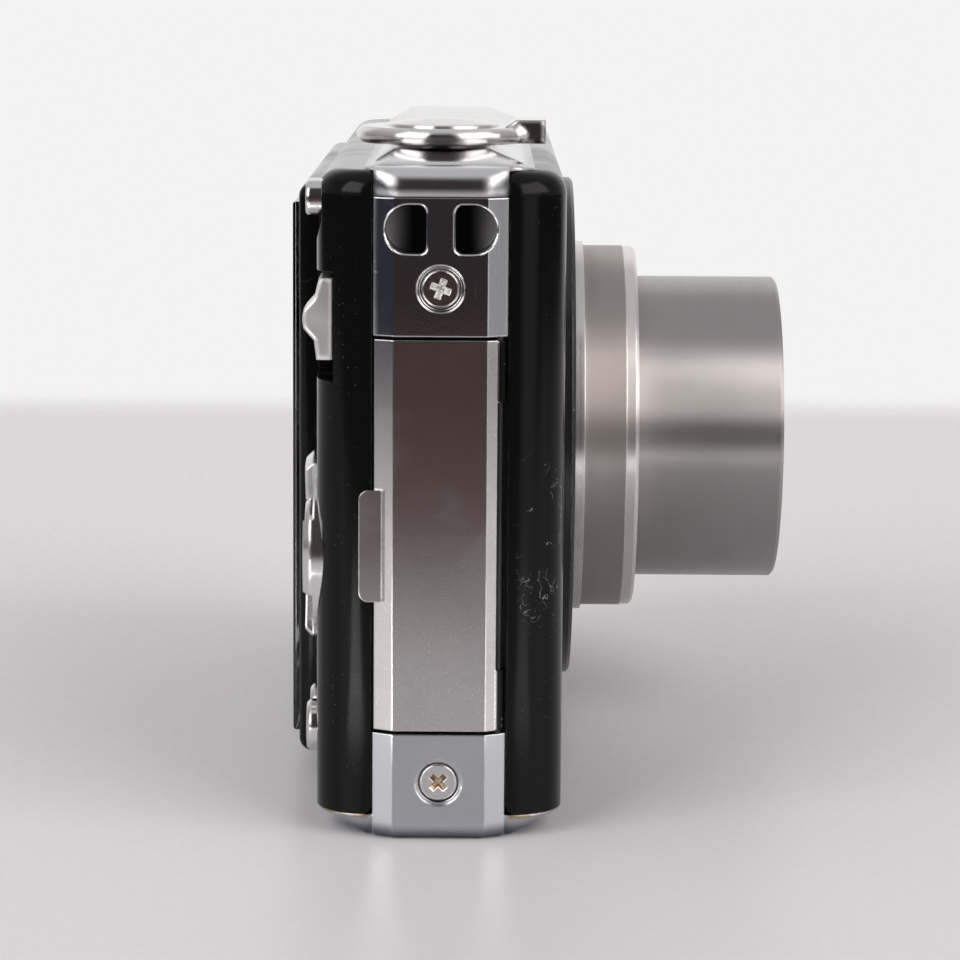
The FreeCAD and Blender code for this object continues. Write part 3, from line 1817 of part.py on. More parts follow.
def make_shutter_button():
    """Domed button in the middle of the ring, on a stem inside the hub."""
    cap_height = "shutter_high - shutter_low"
    stem_height = "shutter_low + seam - shutter_stem_low"
    cap = rod("shutter_cap", "Z", "-ring_x", "0", "shutter_low", "shutter_radius", cap_height)
    dome = ball("shutter_dome", "-ring_x", "0", "shutter_high - shutter_curve", "shutter_curve")
    head = common("shutter_head", [cap, dome])
    stem = rod(
        "shutter_rod", "Z", "-ring_x", "0", "shutter_stem_low", "shutter_stem", stem_height
    )
    return joined("shutter_button", [head, stem])


def make_power_button():
    """Pill-shaped button in the top cover with a collar below it."""
    body = new_body("power_button")
    left = "-power_x - power_length / 2"
    right = "-power_x + power_length / 2"
    collar_top = "cover_top - flange_gap - pill_gap"
    face = "top_height + power_proud"
    add(body, "Z", collar_top, face, rectangle(left, "-power_width / 2", right, "power_width / 2"))
    round_edges(body, "power_width / 2 - seam / 2", lambda edge: runs(edge, "Z"))
    place = size("top_height") + size("power_proud")
    round_edges(body, "button_edge", lambda edge: lies_at(edge, "Z", place))
    add(
        body,
        "Z",
        collar_top + " - flange_thick",
        collar_top,
        rectangle(
            left + " - button_flange",
            "-power_width / 2 - button_flange",
            right + " + button_flange",
            "power_width / 2 + button_flange",
        ),
    )
    return body


# Battery door, battery, card and their holders

BEVEL_RISE = "base_rise / (base_depth / 2 - base_flat / 2)"
HATCH_FLOOR = "(hatch_axis_z - hatch_barrel)"


def make_battery_door():
    """Door with the bottom's own section, a round hinge edge and a recess for its latch."""
    body = new_body("battery_door")
    half = "(hatch_half - hatch_gap)"
    rise = "(%s - base_flat / 2) * %s" % (half, BEVEL_RISE)
    section = [
        ("-base_flat / 2", "0"),
        ("base_flat / 2", "0"),
        (half, rise),
        (half, "hatch_thick"),
        ("-" + half, "hatch_thick"),
        ("-" + half, rise),
    ]
    near = "-hatch_near - 3 * hatch_gap"
    add(body, "X", "-hatch_far + hatch_gap", near, section)
    add(
        body,
        "Y",
        "-hatch_barrel_half",
        "hatch_barrel_half",
        rectangle(near + " - hatch_gap", HATCH_FLOOR, "-hatch_axis_x", "hatch_thick"),
    )
    add(
        body,
        "Y",
        "-hatch_barrel_half",
        "hatch_barrel_half",
        ("-hatch_axis_x", "hatch_axis_z", "hatch_barrel"),
    )
    cut(
        body,
        "Y",
        "-hatch_half",
        "hatch_half",
        ("-hatch_axis_x", "hatch_axis_z", "hatch_pin_radius + blade_fit"),
    )
    cut(
        body,
        "Z",
        "-seam",
        "latch_recess",
        rectangle(
            "-latch_x - latch_length / 2 - slide_gap",
            "-latch_width / 2 - slide_gap",
            "-latch_x + latch_length / 2 + latch_travel + slide_gap",
            "latch_width / 2 + slide_gap",
        ),
    )
    cut(
        body,
        "Z",
        "latch_recess - seam",
        "hatch_thick + seam",
        rectangle(
            "-latch_x - latch_length / 4 - slide_gap",
            "-latch_width / 4 - slide_gap",
            "-latch_x + latch_length / 4 + latch_travel + slide_gap",
            "latch_width / 4 + slide_gap",
        ),
    )
    return body


def make_battery_door_latch():
    """Sliding thumb piece of the battery door, with a flat tongue above it."""
    thumb = box(
        "latch_thumb",
        "-latch_x - latch_length / 2",
        "-latch_x + latch_length / 2",
        "-latch_width / 2",
        "latch_width / 2",
        "slide_gap",
        "latch_recess - slide_gap",
    )
    neck = box(
        "latch_neck",
        "-latch_x - latch_length / 4",
        "-latch_x + latch_length / 4",
        "-latch_width / 4",
        "latch_width / 4",
        "latch_recess - slide_gap",
        "hatch_thick + slide_gap / 2",
    )
    tongue = box(
        "latch_tongue",
        "-hatch_far + 2 * hatch_gap",
        "-latch_x + latch_length / 2",
        "-latch_width / 2",
        "latch_width / 2",
        "hatch_thick + slide_gap / 2",
        "hatch_thick + slide_gap / 2 + latch_plate",
    )
    return joined("battery_door_latch", [thumb, neck, tongue])


def make_battery():
    body = new_body("battery")
    rear = "-battery_front + battery_thick"
    add(
        body,
        "Z",
        "battery_low",
        "battery_low + battery_height",
        rectangle("-battery_near - battery_width", "-battery_front", "-battery_near", rear),
    )
    round_edges(body, "battery_thick / 6", lambda edge: runs(edge, "Z"))
    return body


def make_battery_box():
    """Thin sheet box open at the bottom, with a notch for the battery hook."""
    inner = (
        "-battery_near - battery_width - battery_gap",
        "-battery_near + battery_gap",
        "-battery_front - battery_gap",
        "-battery_front + battery_thick + battery_gap",
    )
    top = "battery_low + battery_height + battery_gap"
    outer = box(
        "battery_box_outer",
        inner[0] + " - box_wall",
        inner[1] + " + box_wall",
        inner[2] + " - box_wall",
        inner[3] + " + box_wall",
        "cover_low",
        top + " + box_wall",
    )
    space = box("battery_space", inner[0], inner[1], inner[2], inner[3], "cover_low - seam", top)
    latch_room = box(
        "latch_room",
        "-hatch_far",
        "-latch_x + latch_length / 2 + latch_travel + slide_gap",
        inner[2] + " - 2 * box_wall",
        inner[3] + " + 2 * box_wall",
        "cover_low - seam",
        "hatch_thick + slide_gap + latch_plate + slide_gap",
    )
    hook_room = box(
        "hook_room",
        "-hook_x - hook_width / 2 - slide_gap",
        "-hook_x + hook_width / 2 + slide_gap",
        inner[3] + " - seam",
        inner[3] + " + 2 * box_wall",
        "cover_low - seam",
        "battery_low + slide_gap",
    )
    return cut_away("battery_box", outer, space, latch_room, hook_room)


def make_battery_hook():
    """Sprung hook that keeps the battery in when the door is open."""
    rear = "(-battery_front + battery_thick + battery_gap + box_wall + slide_gap)"
    stem = box(
        "hook_stem",
        "-hook_x - hook_width / 2",
        "-hook_x + hook_width / 2",
        rear,
        rear + " + box_wall",
        "cover_low + slide_gap",
        "battery_low + 2 * hook_width",
    )
    nose = box(
        "hook_nose",
        "-hook_x - hook_width / 2",
        "-hook_x + hook_width / 2",
        "-battery_front + battery_thick - hook_reach",
        rear,
        "cover_low + slide_gap",
        "battery_low - slide_gap / 2",
    )
    return joined("battery_hook", [stem, nose])


def make_memory_card():
    """Card with one cut corner."""
    body = new_body("memory_card")
    far = "-card_near - card_width"
    high = "card_low + card_height"
    add(
        body,
        "Y",
        "card_front",
        "card_front + card_thick",
        [
            (far, "card_low"),
            ("-card_near", "card_low"),
            ("-card_near", high + " - 2 * card_thick"),
            ("-card_near - 2 * card_thick", high),
            (far, high),
        ],
    )
    return body


def make_card_slot():
    """Sheet metal guide on the main board that the card slides into."""
    outer = box(
        "card_slot_outer",
        "-card_near - card_width - seam - slot_wall",
        "-card_near + seam + slot_wall",
        "card_front - seam - slot_wall",
        "main_board_front",
        "card_low + slot_wall",
        "card_low + card_height + seam + slot_wall",
    )
    space = box(
        "card_space",
        "-card_near - card_width - seam",
        "-card_near + seam",
        "card_front - seam",
        "card_front + card_thick + seam",
        "card_low - seam",
        "card_low + card_height + seam",
    )
    return cut_away("card_slot", outer, space)


# Boards and electrical parts


def make_chassis():
    """Sheet metal plate behind the boards, with a post to each of them."""
    plate = box(
        "chassis_plate",
        "-notch_inner + notch_wall + seam",
        INNER_END + " - cover_wall",
        CHASSIS_FRONT,
        "chassis_rear",
        "cover_low + 2 * cover_wall",
        "cover_top - 2 * cover_wall",
    )
    posts = []
    for name, x, front in (
        ("near_low", "-main_board_near - 4 * post_radius", BOARD_REAR),
        ("near_high", "-notch_inner + notch_wall + 3 * post_radius", BOARD_REAR),
        ("far_low", "power_board_near + 3 * post_radius", "power_board_front + board_thick"),
        ("far_high", "power_board_near + 8 * post_radius", "power_board_front + board_thick"),
    ):
        if name.endswith("low"):
            z = "cover_low + 6 * post_radius"
        else:
            z = "main_board_high - 4 * post_radius"
        length = "%s - (%s)" % (CHASSIS_FRONT, front)
        posts.append(rod("post_" + name, "Y", x, front, z, "post_radius", length))
    return joined("chassis", [plate] + posts)


def make_main_board():
    board = box(
        "main_board_sheet",
        "-main_board_far",
        "-main_board_near",
        "main_board_front",
        BOARD_REAR,
        "cover_low + cover_wall",
        "main_board_high",
    )
    chips = []
    for name, x, z, width in (
        ("processor", "-main_board_near - 2 * capacitor_radius", "nav_z", "2 * capacitor_radius"),
        ("memory", "-nav_x", "round_z + capacitor_radius", "capacitor_radius"),
    ):
        chips.append(
            box(
                name,
                "%s - %s / 2" % (x, width),
                "%s + %s / 2" % (x, width),
                BOARD_REAR,
                BOARD_REAR + " + cover_wall",
                "%s - %s / 2" % (z, width),
                "%s + %s / 2" % (z, width),
            )
        )
    return joined("main_board", [board] + chips)


def make_power_board():
    return box(
        "power_board",
        "power_board_near",
        INNER_END + " - seam",
        "power_board_front",
        "power_board_front + board_thick",
        "tripod_inset + tripod_length + piece_gap",
        "main_board_high",
    )


def make_key_board():
    """Thin board under the back buttons."""
    return box(
        "key_board",
        "-%s + cover_wall" % INNER_END,
        "-screen_near - seam",
        "chassis_rear",
        KEY_BOARD_REAR,
        "cover_low + cover_wall + seam",
        "notch_low - notch_wall - cover_wall",
    )


def make_top_board():
    """Board under the top cover for the shutter, the ring and the power button."""
    return box(
        "top_board",
        "-%s + cover_wall" % INNER_END,
        "-main_board_near",
        "-top_board_front",
        "chassis_rear",
        "top_board_low",
        "top_board_low + board_thick",
    )


def make_flash_capacitor():
    return rod(
        "flash_capacitor",
        "Z",
        "capacitor_x",
        "power_board_front - capacitor_radius",
        "capacitor_low",
        "capacitor_radius",
        "capacitor_height",
    )


def make_speaker():
    return rod(
        "speaker",
        "Y",
        "speaker_x",
        "-" + INNER_FACE,
        "speaker_z",
        "speaker_radius",
        "speaker_thick",
    )


# Flash, focus lamp and tripod bush


def make_flash_window():
    body = new_body("flash_window")
    half = "(flash_width / 2 - flash_gap)"
    height = "(flash_height / 2 - flash_gap)"
    add(
        body,
        "Y",
        "-" + COVER_FACE,
        "-" + INNER_FACE,
        rectangle(
            "-flash_x - " + half,
            "flash_z - " + height,
            "-flash_x + " + half,
            "flash_z + " + height,
        ),
    )
    round_edges(body, "flash_corner - flash_gap", lambda edge: runs(edge, "Y"))
    return body


def make_flash_reflector():
    """Bright trough behind the flash window."""
    body = new_body("flash_reflector")
    half = "(flash_width / 2 + reflector_wall)"
    height = "(flash_height / 2 + reflector_wall)"
    rear = "-%s + reflector_depth" % INNER_FACE
    add(
        body,
        "Y",
        "-" + INNER_FACE,
        rear,
        rectangle(
            "-flash_x - " + half,
            "flash_z - " + height,
            "-flash_x + " + half,
            "flash_z + " + height,
        ),
    )
    inside = "(flash_width / 2 - flash_gap)"
    trough = [
        ("-" + INNER_FACE + " - seam", "flash_z - flash_height / 2 + flash_gap"),
        (rear + " - reflector_wall", "flash_z - flash_height / 5"),
        (rear + " - reflector_wall", "flash_z + flash_height / 5"),
        ("-" + INNER_FACE + " - seam", "flash_z + flash_height / 2 - flash_gap"),
    ]
    cut(body, "X", "-flash_x - " + inside, "-flash_x + " + inside, trough)
    return body


def make_flash_tube():
    return rod(
        "flash_tube",
        "X",
        "-flash_x - flash_width / 2 + flash_gap",
        "-%s + reflector_depth - reflector_wall - flash_tube" % INNER_FACE,
        "flash_z",
        "flash_tube",
        "flash_width - 2 * flash_gap",
    )


def make_focus_lamp():
    return turned_piece(
        "focus_lamp_lens",
        "Y",
        "-lamp_x",
        "lamp_z",
        [
            ("0", "-" + COVER_FACE),
            ("lamp_radius", "-" + COVER_FACE),
            ("lamp_radius", "-" + INNER_FACE),
            ("lamp_radius + button_flange", "-" + INNER_FACE),
            ("lamp_radius + button_flange", "-" + INNER_FACE + " + cover_wall"),
            ("0", "-" + INNER_FACE + " + cover_wall"),
        ],
    )


def make_tripod_bush():
    """Threaded bush with a flange on the inside of the bottom frame."""
    return turned_piece(
        "tripod_bush",
        "Z",
        "tripod_x",
        "0",
        [
            ("tripod_bore", "tripod_inset"),
            ("tripod_tube", "tripod_inset"),
            ("tripod_tube", "cover_low"),
            ("tripod_flange", "cover_low"),
            ("tripod_flange", "cover_low + cover_wall"),
            ("tripod_tube", "cover_low + cover_wall"),
            ("tripod_tube", "tripod_inset + tripod_length"),
            ("tripod_bore", "tripod_inset + tripod_length"),
        ],
    )


def make_everything():
    """Every node of the camera, in the order it is put together."""
    return [
        make_bottom_frame(),
        make_tripod_bush(),
        make_chassis(),
        make_main_board(),
        make_power_board(),
        make_key_board(),
        make_top_board(),
        make_battery_box(),
        make_battery_hook(),
        make_battery(),
        make_card_slot(),
        make_memory_card(),
        make_flash_capacitor(),
        make_speaker(),
        make_terminal_panel(),
        make_socket("digital_socket", "digital_height", "digital_width", "digital_middle"),
        make_socket("av_socket", "av_height", "av_width", "av_middle"),
        make_image_sensor(),
        make_lens_base(),
        make_guide_rods(),
        make_focus_cell(),
        make_lens_element(
            "focus_lens", "-focus_front", "focus_length", "focus_lens_radius", "focus_lens_curve"
        ),
        make_zoom_motor(),
        make_outer_barrel(),
        make_inner_barrel(),
        make_front_cell(),
        make_lens_element(
            "front_lens",
            CELL_FRONT + " - blade_gap / 2",
            "front_lens_thick",
            "front_lens_radius",
            "front_lens_curve",
        ),
        make_blade("barrier_blade_upper", 1),
        make_blade("barrier_blade_lower", -1),
        make_front_ring(),
        make_front_cover(),
        make_lens_ring(),
        make_trim_ring(),
        make_flash_window(),
        make_flash_reflector(),
        make_flash_tube(),
        make_focus_lamp(),
        make_rear_cover(),
        make_screen_module(),
        make_screen_frame(),
        make_screen_window(),
        make_nav_gimbal(),
        make_nav_ring(),
        make_set_button(),
        make_back_button("display_button", "-nav_x - round_spacing / 2"),
        make_back_button("menu_button", "-nav_x + round_spacing / 2"),
        make_share_button(),
        make_mode_switch(),
        make_top_cover(),
        make_zoom_ring(),
        make_shutter_button(),
        make_power_button(),
        make_strap_bracket(),
        make_end_screws(),
        make_terminal_door(),
        make_terminal_door_carrier(),
        make_terminal_door_pin(),
        make_battery_door(),
        hinge_line("battery_door_pin"),
        make_battery_door_latch(),
    ]


nodes = make_everything()
doc.recompute()

for item in doc.Objects:
    if "Invalid" in item.State or "Error" in item.State:
        raise RuntimeError("%s could not be built: %s" % (item.Label, item.State))
for node in nodes:
    if node.Shape.isNull() or not node.Shape.isValid() or node.Shape.Volume <= 0:
        raise RuntimeError("%s has no sound shape" % node.Label)

os.makedirs("parts", exist_ok=True)
for node in nodes:
    node.Shape.exportStep("parts/%s.step" % node.Label)
    room = node.Shape.BoundBox
    sides = (room.XMin, room.XMax, room.YMin, room.YMax, room.ZMin, room.ZMax)
    print("%-22s %8.1f mm3" % (node.Label, node.Shape.Volume), end="")
    print("  x %6.2f %6.2f  y %6.2f %6.2f  z %6.2f %6.2f" % sides)
print(len(nodes), "nodes")
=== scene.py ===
import bmesh
import bpy
import math
from mathutils import Matrix, Vector


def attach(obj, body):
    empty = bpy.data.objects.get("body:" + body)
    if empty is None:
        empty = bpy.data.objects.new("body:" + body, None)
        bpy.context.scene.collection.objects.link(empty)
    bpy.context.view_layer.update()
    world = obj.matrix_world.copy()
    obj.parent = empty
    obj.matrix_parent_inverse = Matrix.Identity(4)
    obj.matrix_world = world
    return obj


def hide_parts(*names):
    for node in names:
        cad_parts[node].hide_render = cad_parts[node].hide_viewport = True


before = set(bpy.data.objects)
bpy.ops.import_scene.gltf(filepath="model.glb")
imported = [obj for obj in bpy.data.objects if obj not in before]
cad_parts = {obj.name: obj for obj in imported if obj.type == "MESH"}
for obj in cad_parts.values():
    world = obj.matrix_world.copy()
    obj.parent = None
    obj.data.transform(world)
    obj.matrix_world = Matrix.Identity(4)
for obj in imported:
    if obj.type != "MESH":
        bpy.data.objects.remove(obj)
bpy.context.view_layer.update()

# The photograph's view: a long lens a little above the top cover, looking along
# the camera's own length and slightly down on it.

MM = 0.001
VIEW_POINT = Vector((-329.5, -3.3, 73.2)) * MM
VIEW_DOWN = math.radians(8.6)
VIEW_ROLL = math.radians(0.4)
VIEW_LENS = 131.25
SENSOR_WIDTH = 36
CLIP_NEAR = 10 * MM

forward = Vector((math.cos(VIEW_DOWN), 0, -math.sin(VIEW_DOWN)))
level_right = Vector((0, -1, 0))
level_up = level_right.cross(forward)
right = level_right * math.cos(VIEW_ROLL) + level_up * math.sin(VIEW_ROLL)
up = level_up * math.cos(VIEW_ROLL) - level_right * math.sin(VIEW_ROLL)
viewer = bpy.data.objects.new("viewer", bpy.data.cameras.new("viewer"))
viewer.data.lens = VIEW_LENS
viewer.data.sensor_width = SENSOR_WIDTH
viewer.data.clip_start = CLIP_NEAR
viewer.matrix_world = Matrix(
    (
        (right.x, up.x, -forward.x, VIEW_POINT.x),
        (right.y, up.y, -forward.y, VIEW_POINT.y),
        (right.z, up.z, -forward.z, VIEW_POINT.z),
        (0, 0, 0, 1),
    )
)
bpy.context.scene.collection.objects.link(viewer)
bpy.context.scene.camera = viewer
bpy.context.scene.view_settings.view_transform = "Standard"

# The studio: a pale grey board in front of a white wall, a large soft window to
# each side of the lens, and a dark shape between them. A soft lamp stands above,
# and two white cards that lie on the board throw light up at the base.

BOARD_FRONT = -0.16
BOARD_BACK = 0.236
BOARD_SIDE = 0.42
BOARD_NEAR_FADE = 0.06
BOARD_FADE = 0.018
BOARD_GREY = (0.60, 0.595, 0.62, 1)
BOARD_SHADE = (0.575, 0.575, 0.59, 1)
WALL_WHITE = (0.905, 0.893, 0.895, 1)


def add_node(tree, kind, given=None, **settings):
    """Add a node with its settings, and with a value or a link for each input given."""
    made = tree.nodes.new(kind)
    for name, value in settings.items():
        setattr(made, name, value)
    for name, value in (given or {}).items():
        if isinstance(value, bpy.types.NodeSocket):
            tree.links.new(value, made.inputs[name])
        else:
            made.inputs[name].default_value = value
    return made


def step(tree, value, low, high, at_low=0.0, at_high=1.0):
    """Turn a value between two limits smoothly into another range."""
    made = add_node(
        tree,
        "ShaderNodeMapRange",
        {"Value": value, "From Min": low, "From Max": high, "To Min": at_low, "To Max": at_high},
        interpolation_type="SMOOTHSTEP",
    )
    return made.outputs["Result"]


def reckon(tree, operation, first, second=0.0):
    """Result of one sum, such as MULTIPLY or PINGPONG."""
    made = add_node(tree, "ShaderNodeMath", {0: first, 1: second}, operation=operation)
    return made.outputs[0]


def blend(tree, share, first, second):
    """Colour that goes from the first to the second as the share goes from 0 to 1."""
    made = add_node(tree, "ShaderNodeMix", {0: share, 6: first, 7: second}, data_type="RGBA")
    return made.outputs[2]


def clouds(tree, place, scale, detail=3.0, roughness=0.55):
    """Soft uneven pattern; a scale of 1000 has lumps about a millimetre wide."""
    given = {"Vector": place, "Scale": scale, "Detail": detail, "Roughness": roughness}
    return add_node(tree, "ShaderNodeTexNoise", given).outputs[0]


def new_mesh_piece(name, shape):
    """Turn a finished bmesh into an object at the origin."""
    bmesh.ops.recalc_face_normals(shape, faces=shape.faces)
    mesh = bpy.data.meshes.new(name)
    shape.to_mesh(mesh)
    shape.free()
    piece = bpy.data.objects.new(name, mesh)
    bpy.context.scene.collection.objects.link(piece)
    return piece


shape = bmesh.new()
bmesh.ops.create_grid(shape, x_segments=8, y_segments=16, size=0.5)
width = BOARD_BACK - BOARD_FRONT + 2 * BOARD_NEAR_FADE
bmesh.ops.scale(shape, vec=(width, 2 * BOARD_SIDE, 1), verts=shape.verts)
bmesh.ops.translate(shape, vec=((BOARD_BACK + BOARD_FRONT) / 2, 0, 0), verts=shape.verts)
board = new_mesh_piece("board", shape)

board_finish = bpy.data.materials.new("board_grey")
board_finish.use_nodes = True
tree = board_finish.node_tree
shader = tree.nodes["Principled BSDF"]
place = add_node(tree, "ShaderNodeTexCoord").outputs["Object"]
grain = clouds(tree, place, 900.0)
tint = blend(tree, clouds(tree, place, 6.0), BOARD_GREY, BOARD_SHADE)
tree.links.new(tint, shader.inputs["Base Color"])
tree.links.new(step(tree, grain, 0.3, 0.7, 0.36, 0.46), shader.inputs["Roughness"])
spread = add_node(tree, "ShaderNodeSeparateXYZ", {0: place}).outputs
near = step(tree, spread["X"], BOARD_FRONT - BOARD_NEAR_FADE, BOARD_FRONT + BOARD_NEAR_FADE)
far = step(tree, spread["X"], BOARD_BACK - BOARD_FADE, BOARD_BACK + BOARD_FADE, 1.0, 0.0)
aside = reckon(tree, "ABSOLUTE", spread["Y"])
side = step(tree, aside, BOARD_SIDE - 5 * BOARD_FADE, BOARD_SIDE, 1.0, 0.0)
shown = reckon(tree, "MULTIPLY", reckon(tree, "MULTIPLY", near, far), side)
clear = add_node(tree, "ShaderNodeBsdfTransparent").outputs[0]
both = add_node(tree, "ShaderNodeMixShader", {0: shown, 1: clear, 2: shader.outputs[0]})
tree.links.new(both.outputs[0], tree.nodes["Material Output"].inputs["Surface"])
board.data.materials.append(board_finish)

ROOM_SIDES = (0.44, 0.40, 0.39, 1)
ROOM_TOP = (0.60, 0.60, 0.61, 1)
ROOM_UNDER = (0.034, 0.038, 0.052, 1)
RIGHT_GLOW = (0.98, 0.96, 0.95, 1)
GLOW_SIDES = (-48, -34)
GLOW_LEVELS = (-0.40, -0.10)
GLOW_SOFT = 0.28
WINDOW_LEFT = (4.3, 4.18, 4.1, 1)
LEFT_SIDES = (25, 64)
WINDOW_RIGHT = (3.5, 3.33, 3.23, 1)
RIGHT_SIDES = (-80, -28)
WINDOW_LEVELS = (0.23, 0.74)
WINDOW_SOFT = 0.12
SHAPE_LOW = (0.105, 0.060, 0.050, 1)
SHAPE_HIGH = (0.036, 0.029, 0.030, 1)
SHAPE_SIDES = (-16, 21)
SHAPE_LEVELS = (-0.30, 0.86)
SHAPE_SOFT = 0.06

world = bpy.data.worlds.new("studio")
bpy.context.scene.world = world
world.use_nodes = True
tree = world.node_tree
direction = add_node(tree, "ShaderNodeTexCoord").outputs["Generated"]
toward = add_node(tree, "ShaderNodeSeparateXYZ", {0: direction}).outputs
backward = reckon(tree, "MULTIPLY", toward["X"], -1.0)
leftward = reckon(tree, "ARCTAN2", toward["Y"], backward)


def within(tree, value, low, high, soft):
    """Mask that is 1 between two limits, with soft ends outside them."""
    rise = step(tree, value, low - soft, low)
    fall = step(tree, value, high, high + soft, 1.0, 0.0)
    return reckon(tree, "MULTIPLY", rise, fall)


def patch(tree, sides, levels, soft):
    """Mask for a patch of the room, by its limits in degrees to the side and in level."""
    across = within(tree, leftward, math.radians(sides[0]), math.radians(sides[1]), soft)
    return reckon(tree, "MULTIPLY", across, within(tree, toward["Z"], levels[0], levels[1], soft))


room = blend(tree, step(tree, toward["Z"], 0.55, 0.90), ROOM_SIDES, ROOM_TOP)
low = step(tree, toward["Z"], -0.05, 0.02, 1.0, 0.0)
room = blend(tree, low, room, ROOM_UNDER)
room = blend(tree, patch(tree, GLOW_SIDES, GLOW_LEVELS, GLOW_SOFT), room, RIGHT_GLOW)
room = blend(tree, patch(tree, LEFT_SIDES, WINDOW_LEVELS, WINDOW_SOFT), room, WINDOW_LEFT)
room = blend(tree, patch(tree, RIGHT_SIDES, WINDOW_LEVELS, WINDOW_SOFT), room, WINDOW_RIGHT)
dark_shape = blend(tree, step(tree, toward["Z"], -0.125, -0.10), SHAPE_LOW, SHAPE_HIGH)
room = blend(tree, patch(tree, SHAPE_SIDES, SHAPE_LEVELS, SHAPE_SOFT), room, dark_shape)
room = blend(tree, step(tree, toward["X"], 0.50, 0.85), room, WALL_WHITE)
seen = add_node(tree, "ShaderNodeLightPath").outputs["Is Camera Ray"]
sky = blend(tree, seen, room, WALL_WHITE)
tree.links.new(sky, tree.nodes["Background"].inputs["Color"])


def add_panel(name, middle, aim, size, power, colour, glossy=False):
    """Soft rectangular light that faces a point and isn't seen itself."""
    lamp = bpy.data.lights.new(name, "AREA")
    lamp.shape = "RECTANGLE"
    lamp.size, lamp.size_y = size
    lamp.energy = power
    lamp.color = colour
    panel = bpy.data.objects.new(name, lamp)
    panel.location = middle
    panel.rotation_euler = (Vector(aim) - Vector(middle)).to_track_quat("-Z", "Y").to_euler()
    panel.visible_camera = False
    panel.visible_glossy = glossy
    bpy.context.scene.collection.objects.link(panel)


LAMP_PLACE = (-0.02, 0.42, 0.62)
LAMP_SIZE = (0.40, 0.30)
LAMP_POWER = 0.3
LAMP_TINT = (1, 0.99, 0.98)
CARD_AHEAD = -0.106
CARD_ASIDE = 0.046
CARD_LEVEL = 1 * MM
CARD_SIZE = (0.080, 0.026)
CARD_TURN = 145

add_panel("light_above", LAMP_PLACE, (0, 0, 0), LAMP_SIZE, LAMP_POWER, LAMP_TINT)
for name, side, power in (("card_left", 1, 0.0300), ("card_right", -1, 0.0105)):
    middle = (CARD_AHEAD, side * CARD_ASIDE, CARD_LEVEL)
    add_panel(name, middle, (0, 0, 1), CARD_SIZE, power, (1, 1, 1), glossy=True)
    bpy.data.objects[name].rotation_euler = (math.pi, 0, math.radians(side * CARD_TURN))

# Bottom frame: pressed metal with a satin silver coat. It closes the body from
# below, and its two ends turn up between the black covers. The battery door and
# its latch have the same coat.

BASE_SILVER = (0.52, 0.53, 0.56, 1)
BASE_SHADE = (0.47, 0.485, 0.515, 1)
BASE_EDGE = (0.72, 0.72, 0.72, 1)
BASE_SCRATCH = (0.68, 0.68, 0.70, 1)
BASE_WORN = (0.40, 0.31, 0.20, 1)
SEAM_LOW = 1.75 * MM
SEAM_HIGH = 1.95 * MM
# Painted shade along the foot of the frame, where it meets the floor:
FOOT_PAINTED_SHADE = (0.17, 0.185, 0.22, 1)
FOOT_LOW = 0.3 * MM
FOOT_HIGH = 1.5 * MM
FINE_SCRATCH = 0.01 * MM


def new_group(name, inputs, outputs):
    """Node group with named inputs and outputs; returns its tree, inputs and outputs."""
    group = bpy.data.node_groups.new(name, "ShaderNodeTree")
    for label, kind in inputs:
        group.interface.new_socket(label, in_out="INPUT", socket_type="NodeSocket" + kind)
    for label, kind in outputs:
        group.interface.new_socket(label, in_out="OUTPUT", socket_type="NodeSocket" + kind)
    given = group.nodes.new("NodeGroupInput").outputs
    result = group.nodes.new("NodeGroupOutput").inputs
    return group, given, result


# Edge wear: finds the edges of a piece and breaks them up into patches.
edge_wear, given, result = new_group(
    "edge_wear",
    [("Place", "Vector"), ("Width", "Float"), ("Patches", "Float")],
    [("Mask", "Float"), ("Normal", "Vector")],
)
rounded = add_node(edge_wear, "ShaderNodeBevel", {"Radius": given["Width"]}, samples=6).outputs[0]
flat = add_node(edge_wear, "ShaderNodeNewGeometry").outputs["True Normal"]
alike = add_node(
    edge_wear, "ShaderNodeVectorMath", {0: rounded, 1: flat}, operation="DOT_PRODUCT"
).outputs["Value"]
edge = step(edge_wear, alike, 0.93, 0.995, 1.0, 0.0)
patches = step(edge_wear, clouds(edge_wear, given["Place"], given["Patches"]), 0.42, 0.60)
edge_wear.links.new(reckon(edge_wear, "MULTIPLY", edge, patches), result["Mask"])
edge_wear.links.new(rounded, result["Normal"])

# Satin grain: the fine tooth of a blasted, anodised or painted surface.
satin_grain, given, result = new_group(
    "satin_grain",
    [("Place", "Vector"), ("Scale", "Float")],
    [("Height", "Float"), ("Smudge", "Float")],
)
fine = clouds(satin_grain, given["Place"], given["Scale"], 2.0)
wide = reckon(satin_grain, "DIVIDE", given["Scale"], 45.0)
satin_grain.links.new(fine, result["Height"])
smudge = step(satin_grain, clouds(satin_grain, given["Place"], wide, 4.0), 0.40, 0.68)
satin_grain.links.new(smudge, result["Smudge"])

# Scratches: short straight lines at any angle, each alone in its cell.
scratches, given, result = new_group(
    "scratches",
    [("Place", "Vector"), ("Scale", "Float"), ("Width", "Float"), ("Share", "Float")],
    [("Mask", "Float")],
)
cells = add_node(
    scratches, "ShaderNodeTexVoronoi", {"Vector": given["Place"], "Scale": given["Scale"]}
)
apart = add_node(
    scratches,
    "ShaderNodeVectorMath",
    {0: given["Place"], 1: cells.outputs["Position"]},
    operation="SUBTRACT",
).outputs[0]
turned = add_node(
    scratches,
    "ShaderNodeVectorMath",
    {0: cells.outputs["Color"], 1: (0.5, 0.5, 0.5)},
    operation="SUBTRACT",
).outputs[0]
turned = add_node(scratches, "ShaderNodeVectorMath", {0: turned}, operation="NORMALIZE").outputs[0]
off_line = add_node(
    scratches, "ShaderNodeVectorMath", {0: apart, 1: turned}, operation="DOT_PRODUCT"
).outputs["Value"]
